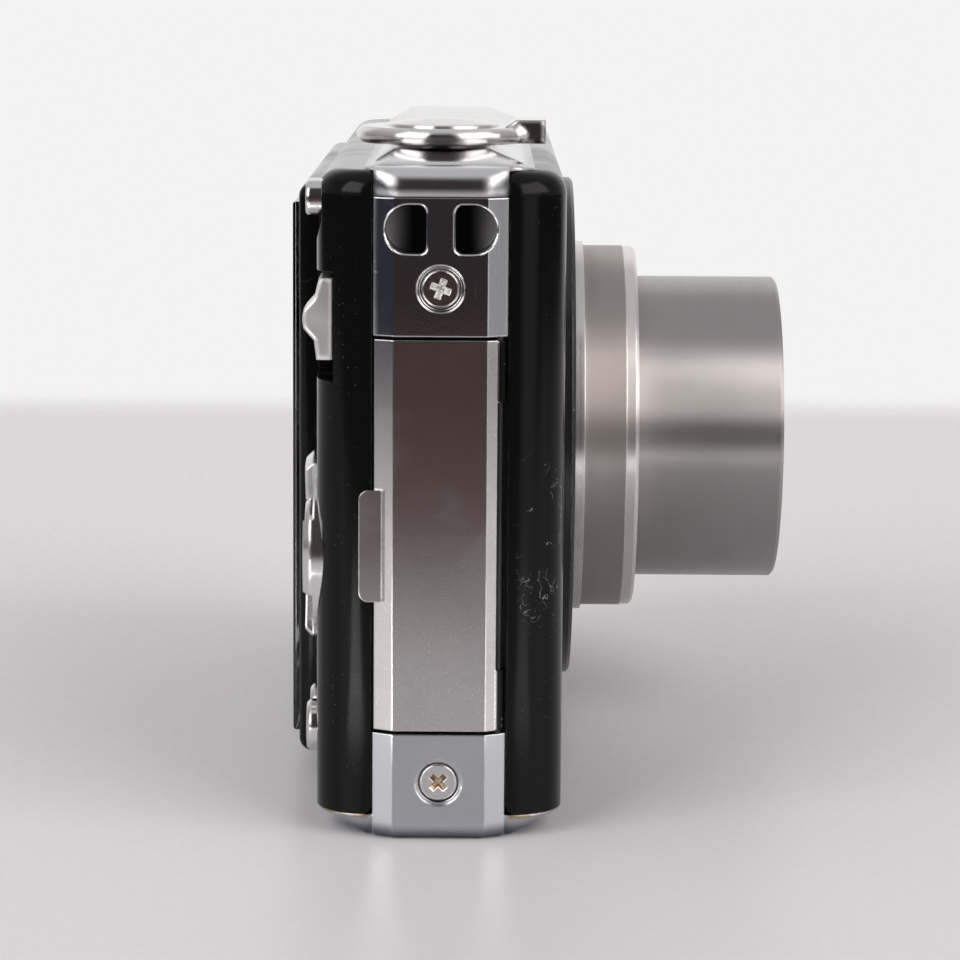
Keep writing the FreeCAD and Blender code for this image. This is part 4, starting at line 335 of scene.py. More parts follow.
off_line = reckon(scratches, "DIVIDE", reckon(scratches, "ABSOLUTE", off_line), given["Width"])
line = step(scratches, off_line, 0.6, 1.0, 1.0, 0.0)
chance = add_node(
    scratches, "ShaderNodeTexWhiteNoise", {"Vector": cells.outputs["Position"]}
).outputs[0]
kept = reckon(scratches, "LESS_THAN", chance, given["Share"])
ends = step(scratches, cells.outputs["Distance"], 0.30, 0.45, 1.0, 0.0)
line = reckon(scratches, "MULTIPLY", reckon(scratches, "MULTIPLY", line, kept), ends)
scratches.links.new(line, result["Mask"])


def use_group(tree, group, **given):
    """Place a node group with a value or a link for each input; returns its outputs."""
    made = tree.nodes.new("ShaderNodeGroup")
    made.node_tree = group
    for name, value in given.items():
        if isinstance(value, bpy.types.NodeSocket):
            tree.links.new(value, made.inputs[name])
        else:
            made.inputs[name].default_value = value
    return made.outputs


def start_finish(name, **plain):
    """New material: returns it with its tree, its shader and the piece's own coordinates."""
    finish = bpy.data.materials.new(name)
    finish.use_nodes = True
    shader = finish.node_tree.nodes["Principled BSDF"]
    for label, value in plain.items():
        shader.inputs[label.replace("_", " ")].default_value = value
    place = add_node(finish.node_tree, "ShaderNodeTexCoord").outputs["Object"]
    return finish, finish.node_tree, shader.inputs, place


def emboss(tree, height, distance, under=None):
    """Bump from a height in 0 to 1, in metres of depth."""
    given = {"Height": height, "Distance": distance}
    if under is not None:
        given["Normal"] = under
    return add_node(tree, "ShaderNodeBump", given).outputs[0]


def dress(finish, *names):
    """Give a finish to nodes of the frame."""
    for name in names:
        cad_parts[name].material_slots[0].material = finish


base_silver, tree, shader, place = start_finish("base_silver", Metallic=1.0)
grain = use_group(tree, satin_grain, Place=place, Scale=9000.0)
wear = use_group(tree, edge_wear, Place=place, Width=0.18 * MM, Patches=900.0)
scratch = use_group(tree, scratches, Place=place, Scale=330.0, Width=FINE_SCRATCH, Share=0.12)
spread = add_node(tree, "ShaderNodeSeparateXYZ", {0: place}).outputs
seam = within(tree, spread["Z"], SEAM_LOW, SEAM_HIGH, 0.15 * MM)
seam = reckon(tree, "MULTIPLY", seam, step(tree, clouds(tree, place, 420.0), 0.42, 0.56))
beside = step(tree, reckon(tree, "ABSOLUTE", spread["Y"]), 5.7 * MM, 6.0 * MM)
seam = reckon(tree, "MULTIPLY", seam, beside)
tone = blend(tree, clouds(tree, place, 90.0), BASE_SILVER, BASE_SHADE)
# From 1.5 mm down to 0.3 mm above the floor the silver is painted dark blue-grey: a painted shade
# for the shadow where the frame meets the floor.
tone = blend(tree, step(tree, spread["Z"], FOOT_LOW, FOOT_HIGH, 1.0, 0.0), tone, FOOT_PAINTED_SHADE)
tone = blend(tree, wear["Mask"], tone, BASE_EDGE)
tone = blend(tree, seam, tone, BASE_WORN)
tone = blend(tree, reckon(tree, "MULTIPLY", scratch["Mask"], 0.6), tone, BASE_SCRATCH)
tree.links.new(tone, shader["Base Color"])
tree.links.new(step(tree, grain["Smudge"], 0.0, 1.0, 0.13, 0.17), shader["Roughness"])
tree.links.new(emboss(tree, grain["Height"], 0.002 * MM, wear["Normal"]), shader["Normal"])
dress(base_silver, "bottom_frame", "battery_door", "battery_door_latch")

# Tripod bush: turned steel, pressed into the bottom frame. The screw thread in
# its bore is the usual quarter-inch one, twenty turns to the inch.

BUSH_MIDDLE = Vector((36.0, 0, 0)) * MM
THREAD_PITCH = 1.27 * MM
THREAD_DEPTH = 1.2 * MM
BORE_EDGE = (2.62 * MM, 2.70 * MM)

bush_steel, tree, shader, place = start_finish("bush_steel", Metallic=1.0)
centred = add_node(
    tree, "ShaderNodeMapping", {"Vector": place, "Location": -BUSH_MIDDLE}
).outputs[0]
apart = add_node(tree, "ShaderNodeSeparateXYZ", {0: centred}).outputs
turn = reckon(tree, "DIVIDE", reckon(tree, "ARCTAN2", apart["Y"], apart["X"]), 2 * math.pi)
climb = reckon(tree, "ADD", reckon(tree, "DIVIDE", apart["Z"], THREAD_PITCH), turn)
ridge = reckon(tree, "PINGPONG", climb, 0.5)
level = add_node(tree, "ShaderNodeCombineXYZ", {"X": apart["X"], "Y": apart["Y"]}).outputs[0]
reach = add_node(tree, "ShaderNodeVectorMath", {0: level}, operation="LENGTH").outputs["Value"]
bore = step(tree, reach, *BORE_EDGE, 1.0, 0.0)
tone = blend(tree, clouds(tree, place, 700.0), (0.50, 0.49, 0.47, 1), (0.62, 0.61, 0.59, 1))
# Inside the bore the steel is coloured darker than on the face.
tree.links.new(blend(tree, bore, tone, (0.30, 0.29, 0.28, 1)), shader["Base Color"])
tree.links.new(step(tree, clouds(tree, place, 1500.0), 0.3, 0.7, 0.28, 0.42), shader["Roughness"])
thread = reckon(tree, "MULTIPLY", ridge, bore)
tree.links.new(emboss(tree, thread, THREAD_DEPTH), shader["Normal"])
dress(bush_steel, "tripod_bush")

# Sheet steel and small turned steel: the chassis, battery box and hook, card slot,
# sockets, guide rods, the battery door's pin and the zoom motor are plated and plain.

sheet_steel, tree, shader, place = start_finish("sheet_steel", Metallic=1.0)
rolled = add_node(
    tree, "ShaderNodeVectorMath", {0: place, 1: (1.0, 1.0, 0.05)}, operation="MULTIPLY"
).outputs[0]
grain = clouds(tree, rolled, 5200.0, 2.0)
wear = use_group(tree, edge_wear, Place=place, Width=0.12 * MM, Patches=700.0)
tone = blend(tree, clouds(tree, place, 160.0), (0.50, 0.50, 0.49, 1), (0.60, 0.60, 0.60, 1))
tone = blend(tree, wear["Mask"], tone, (0.74, 0.74, 0.73, 1))
tree.links.new(tone, shader["Base Color"])
tree.links.new(step(tree, grain, 0.3, 0.7, 0.24, 0.40), shader["Roughness"])
tree.links.new(emboss(tree, grain, 0.01 * MM, wear["Normal"]), shader["Normal"])
dress(
    sheet_steel,
    "chassis",
    "battery_box",
    "battery_hook",
    "card_slot",
    "digital_socket",
    "av_socket",
    "guide_rods",
    "battery_door_pin",
    "zoom_motor",
)

# Circuit boards: glass fibre sheet with a green lacquer over its copper tracks,
# screwed to the posts of the chassis or held by the part that they serve.

board_green, tree, shader, place = start_finish("board_green")
tracks = add_node(
    tree,
    "ShaderNodeTexBrick",
    {"Vector": place, "Scale": 260.0, "Mortar Size": 0.02, "Brick Width": 0.9, "Row Height": 0.22},
).outputs["Fac"]
weave = clouds(tree, place, 3000.0)
lacquer = blend(tree, weave, (0.010, 0.105, 0.045, 1), (0.016, 0.150, 0.065, 1))
tree.links.new(blend(tree, tracks, lacquer, (0.030, 0.22, 0.10, 1)), shader["Base Color"])
tree.links.new(step(tree, weave, 0.3, 0.7, 0.28, 0.40), shader["Roughness"])
tree.links.new(emboss(tree, tracks, 0.04 * MM), shader["Normal"])
dress(board_green, "main_board", "power_board", "key_board", "top_board", "image_sensor")

# Battery and memory card: moulded plastic shells with a fine spark-eroded texture,
# glued or welded shut, and pushed in from below past the battery door.


def moulded(name, colour, paler, scale, rough):
    """Finish of a moulded plastic with a fine texture and paler rubbed edges."""
    finish, tree, shader, place = start_finish(name)
    grain = use_group(tree, satin_grain, Place=place, Scale=scale)
    wear = use_group(tree, edge_wear, Place=place, Width=0.15 * MM, Patches=800.0)
    tone = blend(tree, grain["Smudge"], colour, [0.82 * part for part in colour[:3]] + [1])
    tree.links.new(blend(tree, wear["Mask"], tone, paler), shader["Base Color"])
    tree.links.new(step(tree, grain["Height"], 0.3, 0.7, rough, rough + 0.14), shader["Roughness"])
    tree.links.new(emboss(tree, grain["Height"], 0.03 * MM, wear["Normal"]), shader["Normal"])
    return finish


battery_grey = moulded("battery_grey", (0.12, 0.125, 0.13, 1), (0.22, 0.22, 0.23, 1), 4200.0, 0.45)
dress(battery_grey, "battery")
card_blue = moulded("card_blue", (0.018, 0.035, 0.14, 1), (0.06, 0.09, 0.22, 1), 5200.0, 0.38)
dress(card_blue, "memory_card")

# Flash capacitor: aluminium can in a shrunk plastic sleeve, soldered to the power
# board. Speaker: small round one with a woven cover, glued inside the front cover.

sleeve, tree, shader, place = start_finish("capacitor_sleeve", Coat_Weight=0.5)
ripple = clouds(tree, place, 240.0, 2.0)
tone = blend(tree, ripple, (0.012, 0.014, 0.020, 1), (0.022, 0.024, 0.034, 1))
tree.links.new(tone, shader["Base Color"])
tree.links.new(step(tree, ripple, 0.3, 0.7, 0.22, 0.34), shader["Roughness"])
tree.links.new(emboss(tree, ripple, 0.1 * MM), shader["Normal"])
dress(sleeve, "flash_capacitor")

speaker_black, tree, shader, place = start_finish("speaker_black")
across = add_node(
    tree, "ShaderNodeTexWave", {"Vector": place, "Scale": 900.0}, bands_direction="X"
).outputs["Fac"]
along = add_node(
    tree, "ShaderNodeTexWave", {"Vector": place, "Scale": 900.0}, bands_direction="Z"
).outputs["Fac"]
mesh_cover = reckon(tree, "MULTIPLY", across, along)
tone = blend(tree, mesh_cover, (0.006, 0.006, 0.006, 1), (0.045, 0.045, 0.047, 1))
tree.links.new(tone, shader["Base Color"])
tree.links.new(step(tree, mesh_cover, 0.0, 1.0, 0.7, 0.45), shader["Roughness"])
tree.links.new(emboss(tree, mesh_cover, 0.1 * MM), shader["Normal"])
dress(speaker_black, "speaker")

# Black inner mouldings: lens base, focus cell, front cell, the gimbal under the
# navigation ring, and the panel and carrier behind the terminal door. The front
# cell is ribbed inside to keep stray light off the glass.

LENS_MIDDLE = Vector((10.0, 0, 27.4)) * MM
BAFFLE_STEP = 0.55 * MM
BAFFLE_DEPTH = 0.4 * MM

# Turning marks: fine grooves round the lens axis. Faces is 1 where the tool went
# across a face, and 0 where it went along a barrel.
turning_marks, given, result = new_group(
    "turning_marks",
    [("Place", "Vector"), ("Scale", "Float"), ("Faces", "Float")],
    [("Height", "Float"), ("Radius", "Float")],
)
parts = add_node(turning_marks, "ShaderNodeSeparateXYZ", {0: given["Place"]}).outputs
level = add_node(turning_marks, "ShaderNodeCombineXYZ", {"X": parts["X"], "Y": parts["Z"]})
from_axis = add_node(
    turning_marks, "ShaderNodeVectorMath", {0: level.outputs[0]}, operation="LENGTH"
).outputs["Value"]
across = reckon(turning_marks, "MULTIPLY", from_axis, given["Faces"])
section = add_node(turning_marks, "ShaderNodeCombineXYZ", {"X": across, "Y": parts["Y"]})
turning_marks.links.new(
    clouds(turning_marks, section.outputs[0], given["Scale"], 2.0), result["Height"]
)
turning_marks.links.new(from_axis, result["Radius"])


def about_lens(tree, place):
    """The piece's coordinates, counted from the lens axis."""
    given = {"Vector": place, "Location": -LENS_MIDDLE}
    return add_node(tree, "ShaderNodeMapping", given).outputs[0]


inner_plastic = moulded(
    "inner_plastic", (0.016, 0.016, 0.017, 1), (0.05, 0.05, 0.052, 1), 5200.0, 0.42
)
dress(
    inner_plastic,
    "lens_base",
    "focus_cell",
    "terminal_panel",
    "terminal_door_carrier",
    "nav_gimbal",
)

cell_black, tree, shader, place = start_finish("cell_black", Specular_IOR_Level=0.35)
marks = use_group(tree, turning_marks, Place=about_lens(tree, place), Scale=1400.0, Faces=1.0)
baffle = reckon(tree, "PINGPONG", reckon(tree, "DIVIDE", marks["Radius"], BAFFLE_STEP), 0.5)
# The ribs are painted darker in their troughs than on their crests: painted shade.
tone = blend(tree, baffle, (0.008, 0.008, 0.009, 1), (0.026, 0.026, 0.028, 1))
tree.links.new(tone, shader["Base Color"])
tree.links.new(step(tree, marks["Height"], 0.3, 0.7, 0.42, 0.60), shader["Roughness"])
tree.links.new(emboss(tree, baffle, BAFFLE_DEPTH), shader["Normal"])
dress(cell_black, "front_cell")

# Lens elements: ground and polished glass, held in their cells. A thin coat against
# reflections gives them a faint violet and green sheen.

# Dust: small round specks of different sizes, gathered in places.
dust, given, result = new_group(
    "dust",
    [("Place", "Vector"), ("Scale", "Float")],
    [("Mask", "Float")],
)
cells = add_node(dust, "ShaderNodeTexVoronoi", {"Vector": given["Place"], "Scale": given["Scale"]})
chance = add_node(dust, "ShaderNodeSeparateColor", {0: cells.outputs["Color"]}).outputs[0]
radius = step(dust, chance, 0.72, 1.0, 0.0, 0.20)
speck = reckon(dust, "LESS_THAN", cells.outputs["Distance"], radius)
gathered = clouds(dust, given["Place"], reckon(dust, "DIVIDE", given["Scale"], 28.0))
dust.links.new(
    reckon(dust, "MULTIPLY", speck, step(dust, gathered, 0.45, 0.62)), result["Mask"]
)

lens_glass, tree, shader, place = start_finish(
    "lens_glass",
    Transmission_Weight=1.0,
    IOR=1.62,
    Thin_Film_Thickness=430.0,
    Thin_Film_IOR=1.38,
)
lint = use_group(tree, dust, Place=place, Scale=1800.0)["Mask"]
tone = blend(tree, lint, (0.93, 0.95, 0.98, 1), (0.75, 0.76, 0.78, 1))
tree.links.new(tone, shader["Base Color"])
tree.links.new(step(tree, lint, 0.0, 1.0, 0.01, 0.35), shader["Roughness"])
dress(lens_glass, "front_lens", "focus_lens")

# Barrier blades: stamped spring steel, blackened, each on a pin of the front cell.
# The pin of the terminal door is blackened too.

blade_black, tree, shader, place = start_finish("blade_black", Metallic=0.6)
grain = use_group(tree, satin_grain, Place=place, Scale=4200.0)
wear = use_group(tree, edge_wear, Place=place, Width=0.1 * MM, Patches=900.0)
tone = blend(tree, grain["Smudge"], (0.018, 0.018, 0.020, 1), (0.030, 0.030, 0.032, 1))
tree.links.new(blend(tree, wear["Mask"], tone, (0.12, 0.12, 0.12, 1)), shader["Base Color"])
tree.links.new(step(tree, grain["Height"], 0.3, 0.7, 0.30, 0.42), shader["Roughness"])
tree.links.new(emboss(tree, grain["Height"], 0.015 * MM, wear["Normal"]), shader["Normal"])
dress(blade_black, "barrier_blade_upper", "barrier_blade_lower", "terminal_door_pin")

# Telescoping barrels: turned aluminium, anodised a warm champagne silver. Grooves
# too fine to see draw the gloss out along the lens axis. The first barrel is satin,
# with a polished and paler band at its front; the second is smoother.

BAND_REAR = -16.9 * MM
BAND_EDGE = 0.05 * MM
BAND_BRIGHT = (0.80, 0.765, 0.755, 1)
BARREL_EDGE = (0.66, 0.64, 0.63, 1)
MARK_DEPTH = 0.001 * MM


def anodised(name, colour, darker, grooves):
    """Start of the finish of a turned and anodised part; its colour isn't linked yet."""
    finish, tree, shader, place = start_finish(
        name, Metallic=1.0, Anisotropic=grooves, Anisotropic_Rotation=0.25
    )
    around = add_node(tree, "ShaderNodeTangent", direction_type="RADIAL", axis="Y")
    tree.links.new(around.outputs[0], shader["Tangent"])
    grain = use_group(tree, satin_grain, Place=place, Scale=9000.0)
    wear = use_group(tree, edge_wear, Place=place, Width=0.15 * MM, Patches=900.0)
    tone = blend(tree, grain["Smudge"], colour, darker)
    tone = blend(tree, wear["Mask"], tone, BARREL_EDGE)
    marks = use_group(tree, turning_marks, Place=about_lens(tree, place), Scale=2600.0, Faces=1.0)
    relief = emboss(tree, marks["Height"], MARK_DEPTH, wear["Normal"])
    tree.links.new(emboss(tree, grain["Height"], MARK_DEPTH, relief), shader["Normal"])
    return finish, tree, shader, place, marks["Height"], tone


outer_metal, tree, shader, place, turned, tone = anodised(
    "outer_barrel_metal", (0.52, 0.475, 0.455, 1), (0.49, 0.45, 0.43, 1), 0.9
)
along = add_node(tree, "ShaderNodeSeparateXYZ", {0: place}).outputs["Y"]
band = step(tree, along, BAND_REAR - BAND_EDGE, BAND_REAR + BAND_EDGE, 1.0, 0.0)
tree.links.new(blend(tree, band, tone, BAND_BRIGHT), shader["Base Color"])
rough = step(tree, turned, 0.3, 0.7, 0.47, 0.50)
rough = reckon(tree, "SUBTRACT", rough, reckon(tree, "MULTIPLY", band, 0.14))
tree.links.new(rough, shader["Roughness"])
dress(outer_metal, "outer_barrel")

inner_metal, tree, shader, place, turned, tone = anodised(
    "inner_barrel_metal", (0.49, 0.468, 0.466, 1), (0.47, 0.448, 0.446, 1), 1.0
)
tree.links.new(tone, shader["Base Color"])
tree.links.new(step(tree, turned, 0.3, 0.7, 0.42, 0.45), shader["Roughness"])
dress(inner_metal, "inner_barrel")

# Front ring: turned aluminium, faced and satin finished, glued into the end of the
# second barrel in front of the blades.

front_ring_metal, tree, shader, place, turned, tone = anodised(
    "front_ring_metal", (0.50, 0.49, 0.485, 1), (0.44, 0.43, 0.425, 1), 0.6
)
tree.links.new(tone, shader["Base Color"])
tree.links.new(step(tree, turned, 0.3, 0.7, 0.26, 0.36), shader["Roughness"])
dress(front_ring_metal, "front_ring")

# Trim ring: narrow bright ring of turned aluminium round the barrels. Its flange
# sits inside the black surround.

trim_metal, tree, shader, place, turned, tone = anodised(
    "trim_metal", (0.72, 0.715, 0.71, 1), (0.66, 0.655, 0.65, 1), 0.6
)
tree.links.new(tone, shader["Base Color"])
tree.links.new(step(tree, turned, 0.3, 0.7, 0.24, 0.32), shader["Roughness"])
dress(trim_metal, "trim_ring")

# Front and rear covers and the frame of the screen: thin metal shells with a thick
# coat of polished black lacquer, held by the end screws. They are scratched,
# smeared and dusty, and some fluff clings beside the terminal door.

COVER_BLACK = (0.0030, 0.0031, 0.0035, 1)
COVER_SCRATCH = (0.11, 0.11, 0.11, 1)
COVER_DUST = (0.34, 0.34, 0.34, 1)
COVER_RUBBED = (0.05, 0.05, 0.05, 1)
FLUFF_UP = (21 * MM, 29 * MM, 4 * MM)
FLUFF_ACROSS = (-9.8 * MM, -6.8 * MM, 0.8 * MM)
FLUFF_END = (-41 * MM, -40 * MM)


def fluff(tree, place):
    """Curled fibres that cling to the front cover beside the terminal door."""
    curls = clouds(tree, place, 800.0, 2.0, 0.6)
    curls = reckon(tree, "ABSOLUTE", reckon(tree, "SUBTRACT", curls, 0.5))
    curls = step(tree, curls, 0.002, 0.010, 1.0, 0.0)
    gathered = step(tree, clouds(tree, place, 330.0, 1.0), 0.50, 0.58)
    spread = add_node(tree, "ShaderNodeSeparateXYZ", {0: place}).outputs
    level = within(tree, spread["Z"], *FLUFF_UP)
    side = within(tree, spread["Y"], *FLUFF_ACROSS)
    end = step(tree, spread["X"], *FLUFF_END, 1.0, 0.0)
    where = reckon(tree, "MULTIPLY", reckon(tree, "MULTIPLY", level, side), end)
    seen = reckon(tree, "MULTIPLY", reckon(tree, "MULTIPLY", curls, gathered), where)
    return reckon(tree, "MULTIPLY", seen, 0.65)


def lacquered(name, scratched):
    """Finish of a lacquered black part; scratched says how much its scratches show."""
    finish, tree, shader, place = start_finish(name, Specular_IOR_Level=0.14)
    smear = clouds(tree, place, 55.0, 5.0, 0.6)
    scratch = use_group(tree, scratches, Place=place, Scale=250.0, Width=FINE_SCRATCH, Share=0.25)
    scratch = reckon(tree, "MULTIPLY", scratch["Mask"], scratched)
    specks = use_group(tree, dust, Place=place, Scale=4600.0)["Mask"]
    wear = use_group(tree, edge_wear, Place=place, Width=0.12 * MM, Patches=650.0)
    tone = blend(tree, scratch, COVER_BLACK, COVER_SCRATCH)
    tone = blend(tree, reckon(tree, "MULTIPLY", specks, 0.28), tone, COVER_DUST)
    tone = blend(tree, reckon(tree, "MULTIPLY", wear["Mask"], 0.5), tone, COVER_RUBBED)
    tree.links.new(blend(tree, fluff(tree, place), tone, COVER_DUST), shader["Base Color"])
    rough = step(tree, smear, 0.42, 0.70, 0.12, 0.22)
    rough = reckon(tree, "ADD", rough, reckon(tree, "MULTIPLY", scratch, 0.25))
    tree.links.new(rough, shader["Roughness"])
    wave = clouds(tree, place, 420.0, 1.0)
    tree.links.new(emboss(tree, wave, 0.004 * MM, wear["Normal"]), shader["Normal"])
    return finish


cover_black = lacquered("cover_black", 0.5)
dress(cover_black, "front_cover", "rear_cover")
screen_black = lacquered("screen_frame_black", 0.35)
dress(screen_black, "screen_frame")

# Lens surround: turned ring with a satin black coat, dished towards the barrels.
# Its spigot fits in the hole of the front cover.

ring_black, tree, shader, place = start_finish("lens_ring_black")
marks = use_group(tree, turning_marks, Place=about_lens(tree, place), Scale=2600.0, Faces=1.0)
wear = use_group(tree, edge_wear, Place=place, Width=0.15 * MM, Patches=900.0)
lint = use_group(tree, dust, Place=place, Scale=1700.0)["Mask"]
tone = blend(tree, marks["Height"], (0.010, 0.010, 0.011, 1), (0.018, 0.018, 0.019, 1))
tone = blend(tree, wear["Mask"], tone, (0.10, 0.10, 0.10, 1))
tone = blend(tree, reckon(tree, "MULTIPLY", lint, 0.5), tone, COVER_DUST)
tree.links.new(tone, shader["Base Color"])
tree.links.new(step(tree, marks["Height"], 0.3, 0.7, 0.20, 0.30), shader["Roughness"])
tree.links.new(emboss(tree, marks["Height"], 0.006 * MM, wear["Normal"]), shader["Normal"])
dress(ring_black, "lens_ring")

# Flash: clear moulded window with fine prisms on its face, over a bright trough
# with its glass tube. The clear round window of the focus lamp is beside it.

FLASH_RIDGE = 0.55 * MM
FLASH_RIDGE_DEPTH = 0.3 * MM

CLEAR_PLASTIC_IOR = 1.49
TUBE_IOR = 1.47


def mottled(name, scale, first, second, low, high, **plain):
    """Finish of a clear or mirror-like piece: a faint mottle in its tone and its gloss."""
    finish, tree, shader, place = start_finish(name, **plain)
    mottle = clouds(tree, place, scale)
    tree.links.new(blend(tree, mottle, first, second), shader["Base Color"])
    tree.links.new(step(tree, mottle, 0.3, 0.7, low, high), shader["Roughness"])
    return finish, tree, shader, place


flash_clear, tree, shader, place = mottled(
    "flash_clear",
    500.0,
    (0.94, 0.95, 0.96, 1),
    (0.98, 0.98, 0.98, 1),
    0.03,
    0.10,
    Transmission_Weight=1.0,
    IOR=CLEAR_PLASTIC_IOR,
)
spread = add_node(tree, "ShaderNodeSeparateXYZ", {0: place}).outputs
ridges = reckon(tree, "PINGPONG", reckon(tree, "DIVIDE", spread["Z"], FLASH_RIDGE), 0.5)
tree.links.new(emboss(tree, ridges, FLASH_RIDGE_DEPTH), shader["Normal"])
dress(flash_clear, "flash_window")

tube_glass = mottled(
    "tube_glass",
    400.0,
    (0.96, 0.97, 1.0, 1),
    (0.90, 0.92, 0.96, 1),
    0.02,
    0.08,
    Transmission_Weight=1.0,
    IOR=TUBE_IOR,
)[0]
dress(tube_glass, "flash_tube")

reflector_bright = mottled(
    "reflector_bright",
    800.0,
    (0.86, 0.86, 0.87, 1),
    (0.78, 0.78, 0.79, 1),
    0.08,
    0.16,
    Metallic=1.0,
)[0]
dress(reflector_bright, "flash_reflector")

lamp_clear, tree, shader, place = mottled(
    "lamp_clear",
    600.0,
    (0.92, 0.93, 0.94, 1),
    (0.97, 0.97, 0.97, 1),
    0.03,
    0.12,
    Transmission_Weight=1.0,
    IOR=CLEAR_PLASTIC_IOR,
)
tree.links.new(emboss(tree, clouds(tree, place, 900.0, 0.0), 0.1 * MM), shader["Normal"])
dress(lamp_clear, "focus_lamp_lens")

# Screen: a dark liquid crystal panel with a fine dot grid. It sits behind its frame,
# under a clear hard-coated window with finger marks.

screen_panel, tree, shader, place = start_finish("screen_panel", Coat_Weight=0.4)
columns = add_node(
    tree, "ShaderNodeTexWave", {"Vector": place, "Scale": 2600.0}, bands_direction="X"
).outputs["Fac"]
rows = add_node(
    tree, "ShaderNodeTexWave", {"Vector": place, "Scale": 2600.0}, bands_direction="Z"
).outputs["Fac"]
dots = reckon(tree, "MULTIPLY", columns, rows)
tone = blend(tree, dots, (0.012, 0.013, 0.018, 1), (0.022, 0.024, 0.034, 1))
tree.links.new(tone, shader["Base Color"])
tree.links.new(step(tree, clouds(tree, place, 60.0), 0.35, 0.65, 0.18, 0.26), shader["Roughness"])
dress(screen_panel, "screen_module")

window_clear, tree, shader, place = start_finish(
    "window_clear", Transmission_Weight=1.0, IOR=CLEAR_PLASTIC_IOR
)
finger = clouds(tree, place, 70.0, 5.0, 0.65)
lint = use_group(tree, dust, Place=place, Scale=1300.0)["Mask"]
tone = blend(tree, lint, (0.95, 0.96, 0.96, 1), (0.70, 0.70, 0.70, 1))
tree.links.new(tone, shader["Base Color"])
tree.links.new(step(tree, finger, 0.42, 0.75, 0.02, 0.16), shader["Roughness"])
dress(window_clear, "screen_window")

# Buttons on the back: moulded plastic with a bright satin metal coat. Most have a
# collar or flange behind the rear cover that keeps them in their holes.

PLATE_DUST = (0.18, 0.17, 0.17, 1)
PLATE_SCRATCH = (0.90, 0.90, 0.90, 1)
PLATE_GRAIN = 0.0015 * MM


def plated(name, colour, darker, low, high, width):
    """Finish of a bright plated piece: two tones, two roughnesses, width of soft edges."""
    finish, tree, shader, place = start_finish(name, Metallic=1.0)
    grain = use_group(tree, satin_grain, Place=place, Scale=3600.0)
    wear = use_group(tree, edge_wear, Place=place, Width=width, Patches=900.0)
    scratch = use_group(tree, scratches, Place=place, Scale=600.0, Width=FINE_SCRATCH, Share=0.2)
    lint = use_group(tree, dust, Place=place, Scale=1700.0)["Mask"]
    tone = blend(tree, grain["Smudge"], colour, darker)
    tone = blend(tree, reckon(tree, "MULTIPLY", lint, 0.6), tone, PLATE_DUST)
    tone = blend(tree, reckon(tree, "MULTIPLY", scratch["Mask"], 0.5), tone, PLATE_SCRATCH)
    tree.links.new(tone, shader["Base Color"])
    rough = step(tree, grain["Smudge"], 0.0, 1.0, low, high)
    rough = reckon(tree, "ADD", rough, reckon(tree, "MULTIPLY", scratch["Mask"], 0.15))
    tree.links.new(rough, shader["Roughness"])
    tree.links.new(emboss(tree, grain["Height"], PLATE_GRAIN, wear["Normal"]), shader["Normal"])
    return finish


button_chrome = plated(
    "button_chrome", (0.70, 0.695, 0.70, 1), (0.64, 0.635, 0.64, 1), 0.14, 0.22, 0.3 * MM
)
dress(button_chrome, "nav_ring", "set_button", "display_button", "menu_button", "share_button")

# Mode switch: die-cast knob with a softer satin coat. It slides in a notch at the
# corner of the rear cover.

switch_satin = plated(
    "switch_satin", (0.82, 0.815, 0.82, 1), (0.74, 0.735, 0.74, 1), 0.34, 0.42, 0.6 * MM
)
dress(switch_satin, "mode_switch")

# Top cover: die-cast plate, plated and polished, with facets that fall away from
# a narrow flat and a cap over each end. It closes the body from above.

top_silver = plated(
    "top_silver", (0.70, 0.70, 0.715, 1), (0.66, 0.665, 0.68, 1), 0.13, 0.17, 1.1 * MM
)
dress(top_silver, "top_cover")

# Zoom ring, shutter button and power button: turned brass with polished chrome.
# The ring's hub passes through the top cover, and the shutter button sits in it.

ring_chrome = plated(
    "ring_chrome", (0.78, 0.77, 0.76, 1), (0.72, 0.71, 0.70, 1), 0.05, 0.10, 0.7 * MM
)
dress(ring_chrome, "zoom_ring", "shutter_button", "power_button")

# Strap bracket: thick die-cast end piece with mirror chrome, with two holes
# beside a bar for the strap to pass round.

HOLE_LIP = 45.75 * MM
HOLE_FLOOR = 45.0 * MM
HOLE_NEAR = 2.2 * MM
HOLE_FAR = 4.9 * MM
# Painted shade and painted light inside the two holes:
HOLE_PAINTED_SHADE = (0.010, 0.009, 0.010, 1)
HOLE_PAINTED_LIGHT = (0.42, 0.42, 0.43, 1)

strap_chrome = plated(
    "strap_chrome", (0.66, 0.655, 0.67, 1), (0.62, 0.615, 0.63, 1), 0.05, 0.10, 0.18 * MM
)
tree = strap_chrome.node_tree
shader = tree.nodes["Principled BSDF"].inputs
place = add_node(tree, "ShaderNodeTexCoord").outputs["Object"]
spread = add_node(tree, "ShaderNodeSeparateXYZ", {0: place}).outputs
# Inside the holes the colour is painted: dark as painted shade, lighter towards their outer ends
# as painted light. The inside is rougher too.
inside = step(tree, reckon(tree, "ABSOLUTE", spread["X"]), HOLE_FLOOR, HOLE_LIP, 1.0, 0.0)
outward = step(tree, reckon(tree, "ABSOLUTE", spread["Y"]), HOLE_NEAR, HOLE_FAR)
painted_hole_light = blend(tree, outward, HOLE_PAINTED_SHADE, HOLE_PAINTED_LIGHT)
chrome = shader["Base Color"].links[0].from_socket
tree.links.new(blend(tree, inside, chrome, painted_hole_light), shader["Base Color"])
polish = shader["Roughness"].links[0].from_socket
dull = reckon(tree, "MULTIPLY", inside, 0.45)
tree.links.new(reckon(tree, "ADD", polish, dull), shader["Roughness"])
dress(strap_chrome, "strap_bracket")

# End screws: small pan heads with a cross recess, two at each end, that hold
# the covers to the bottom frame and the strap bracket.

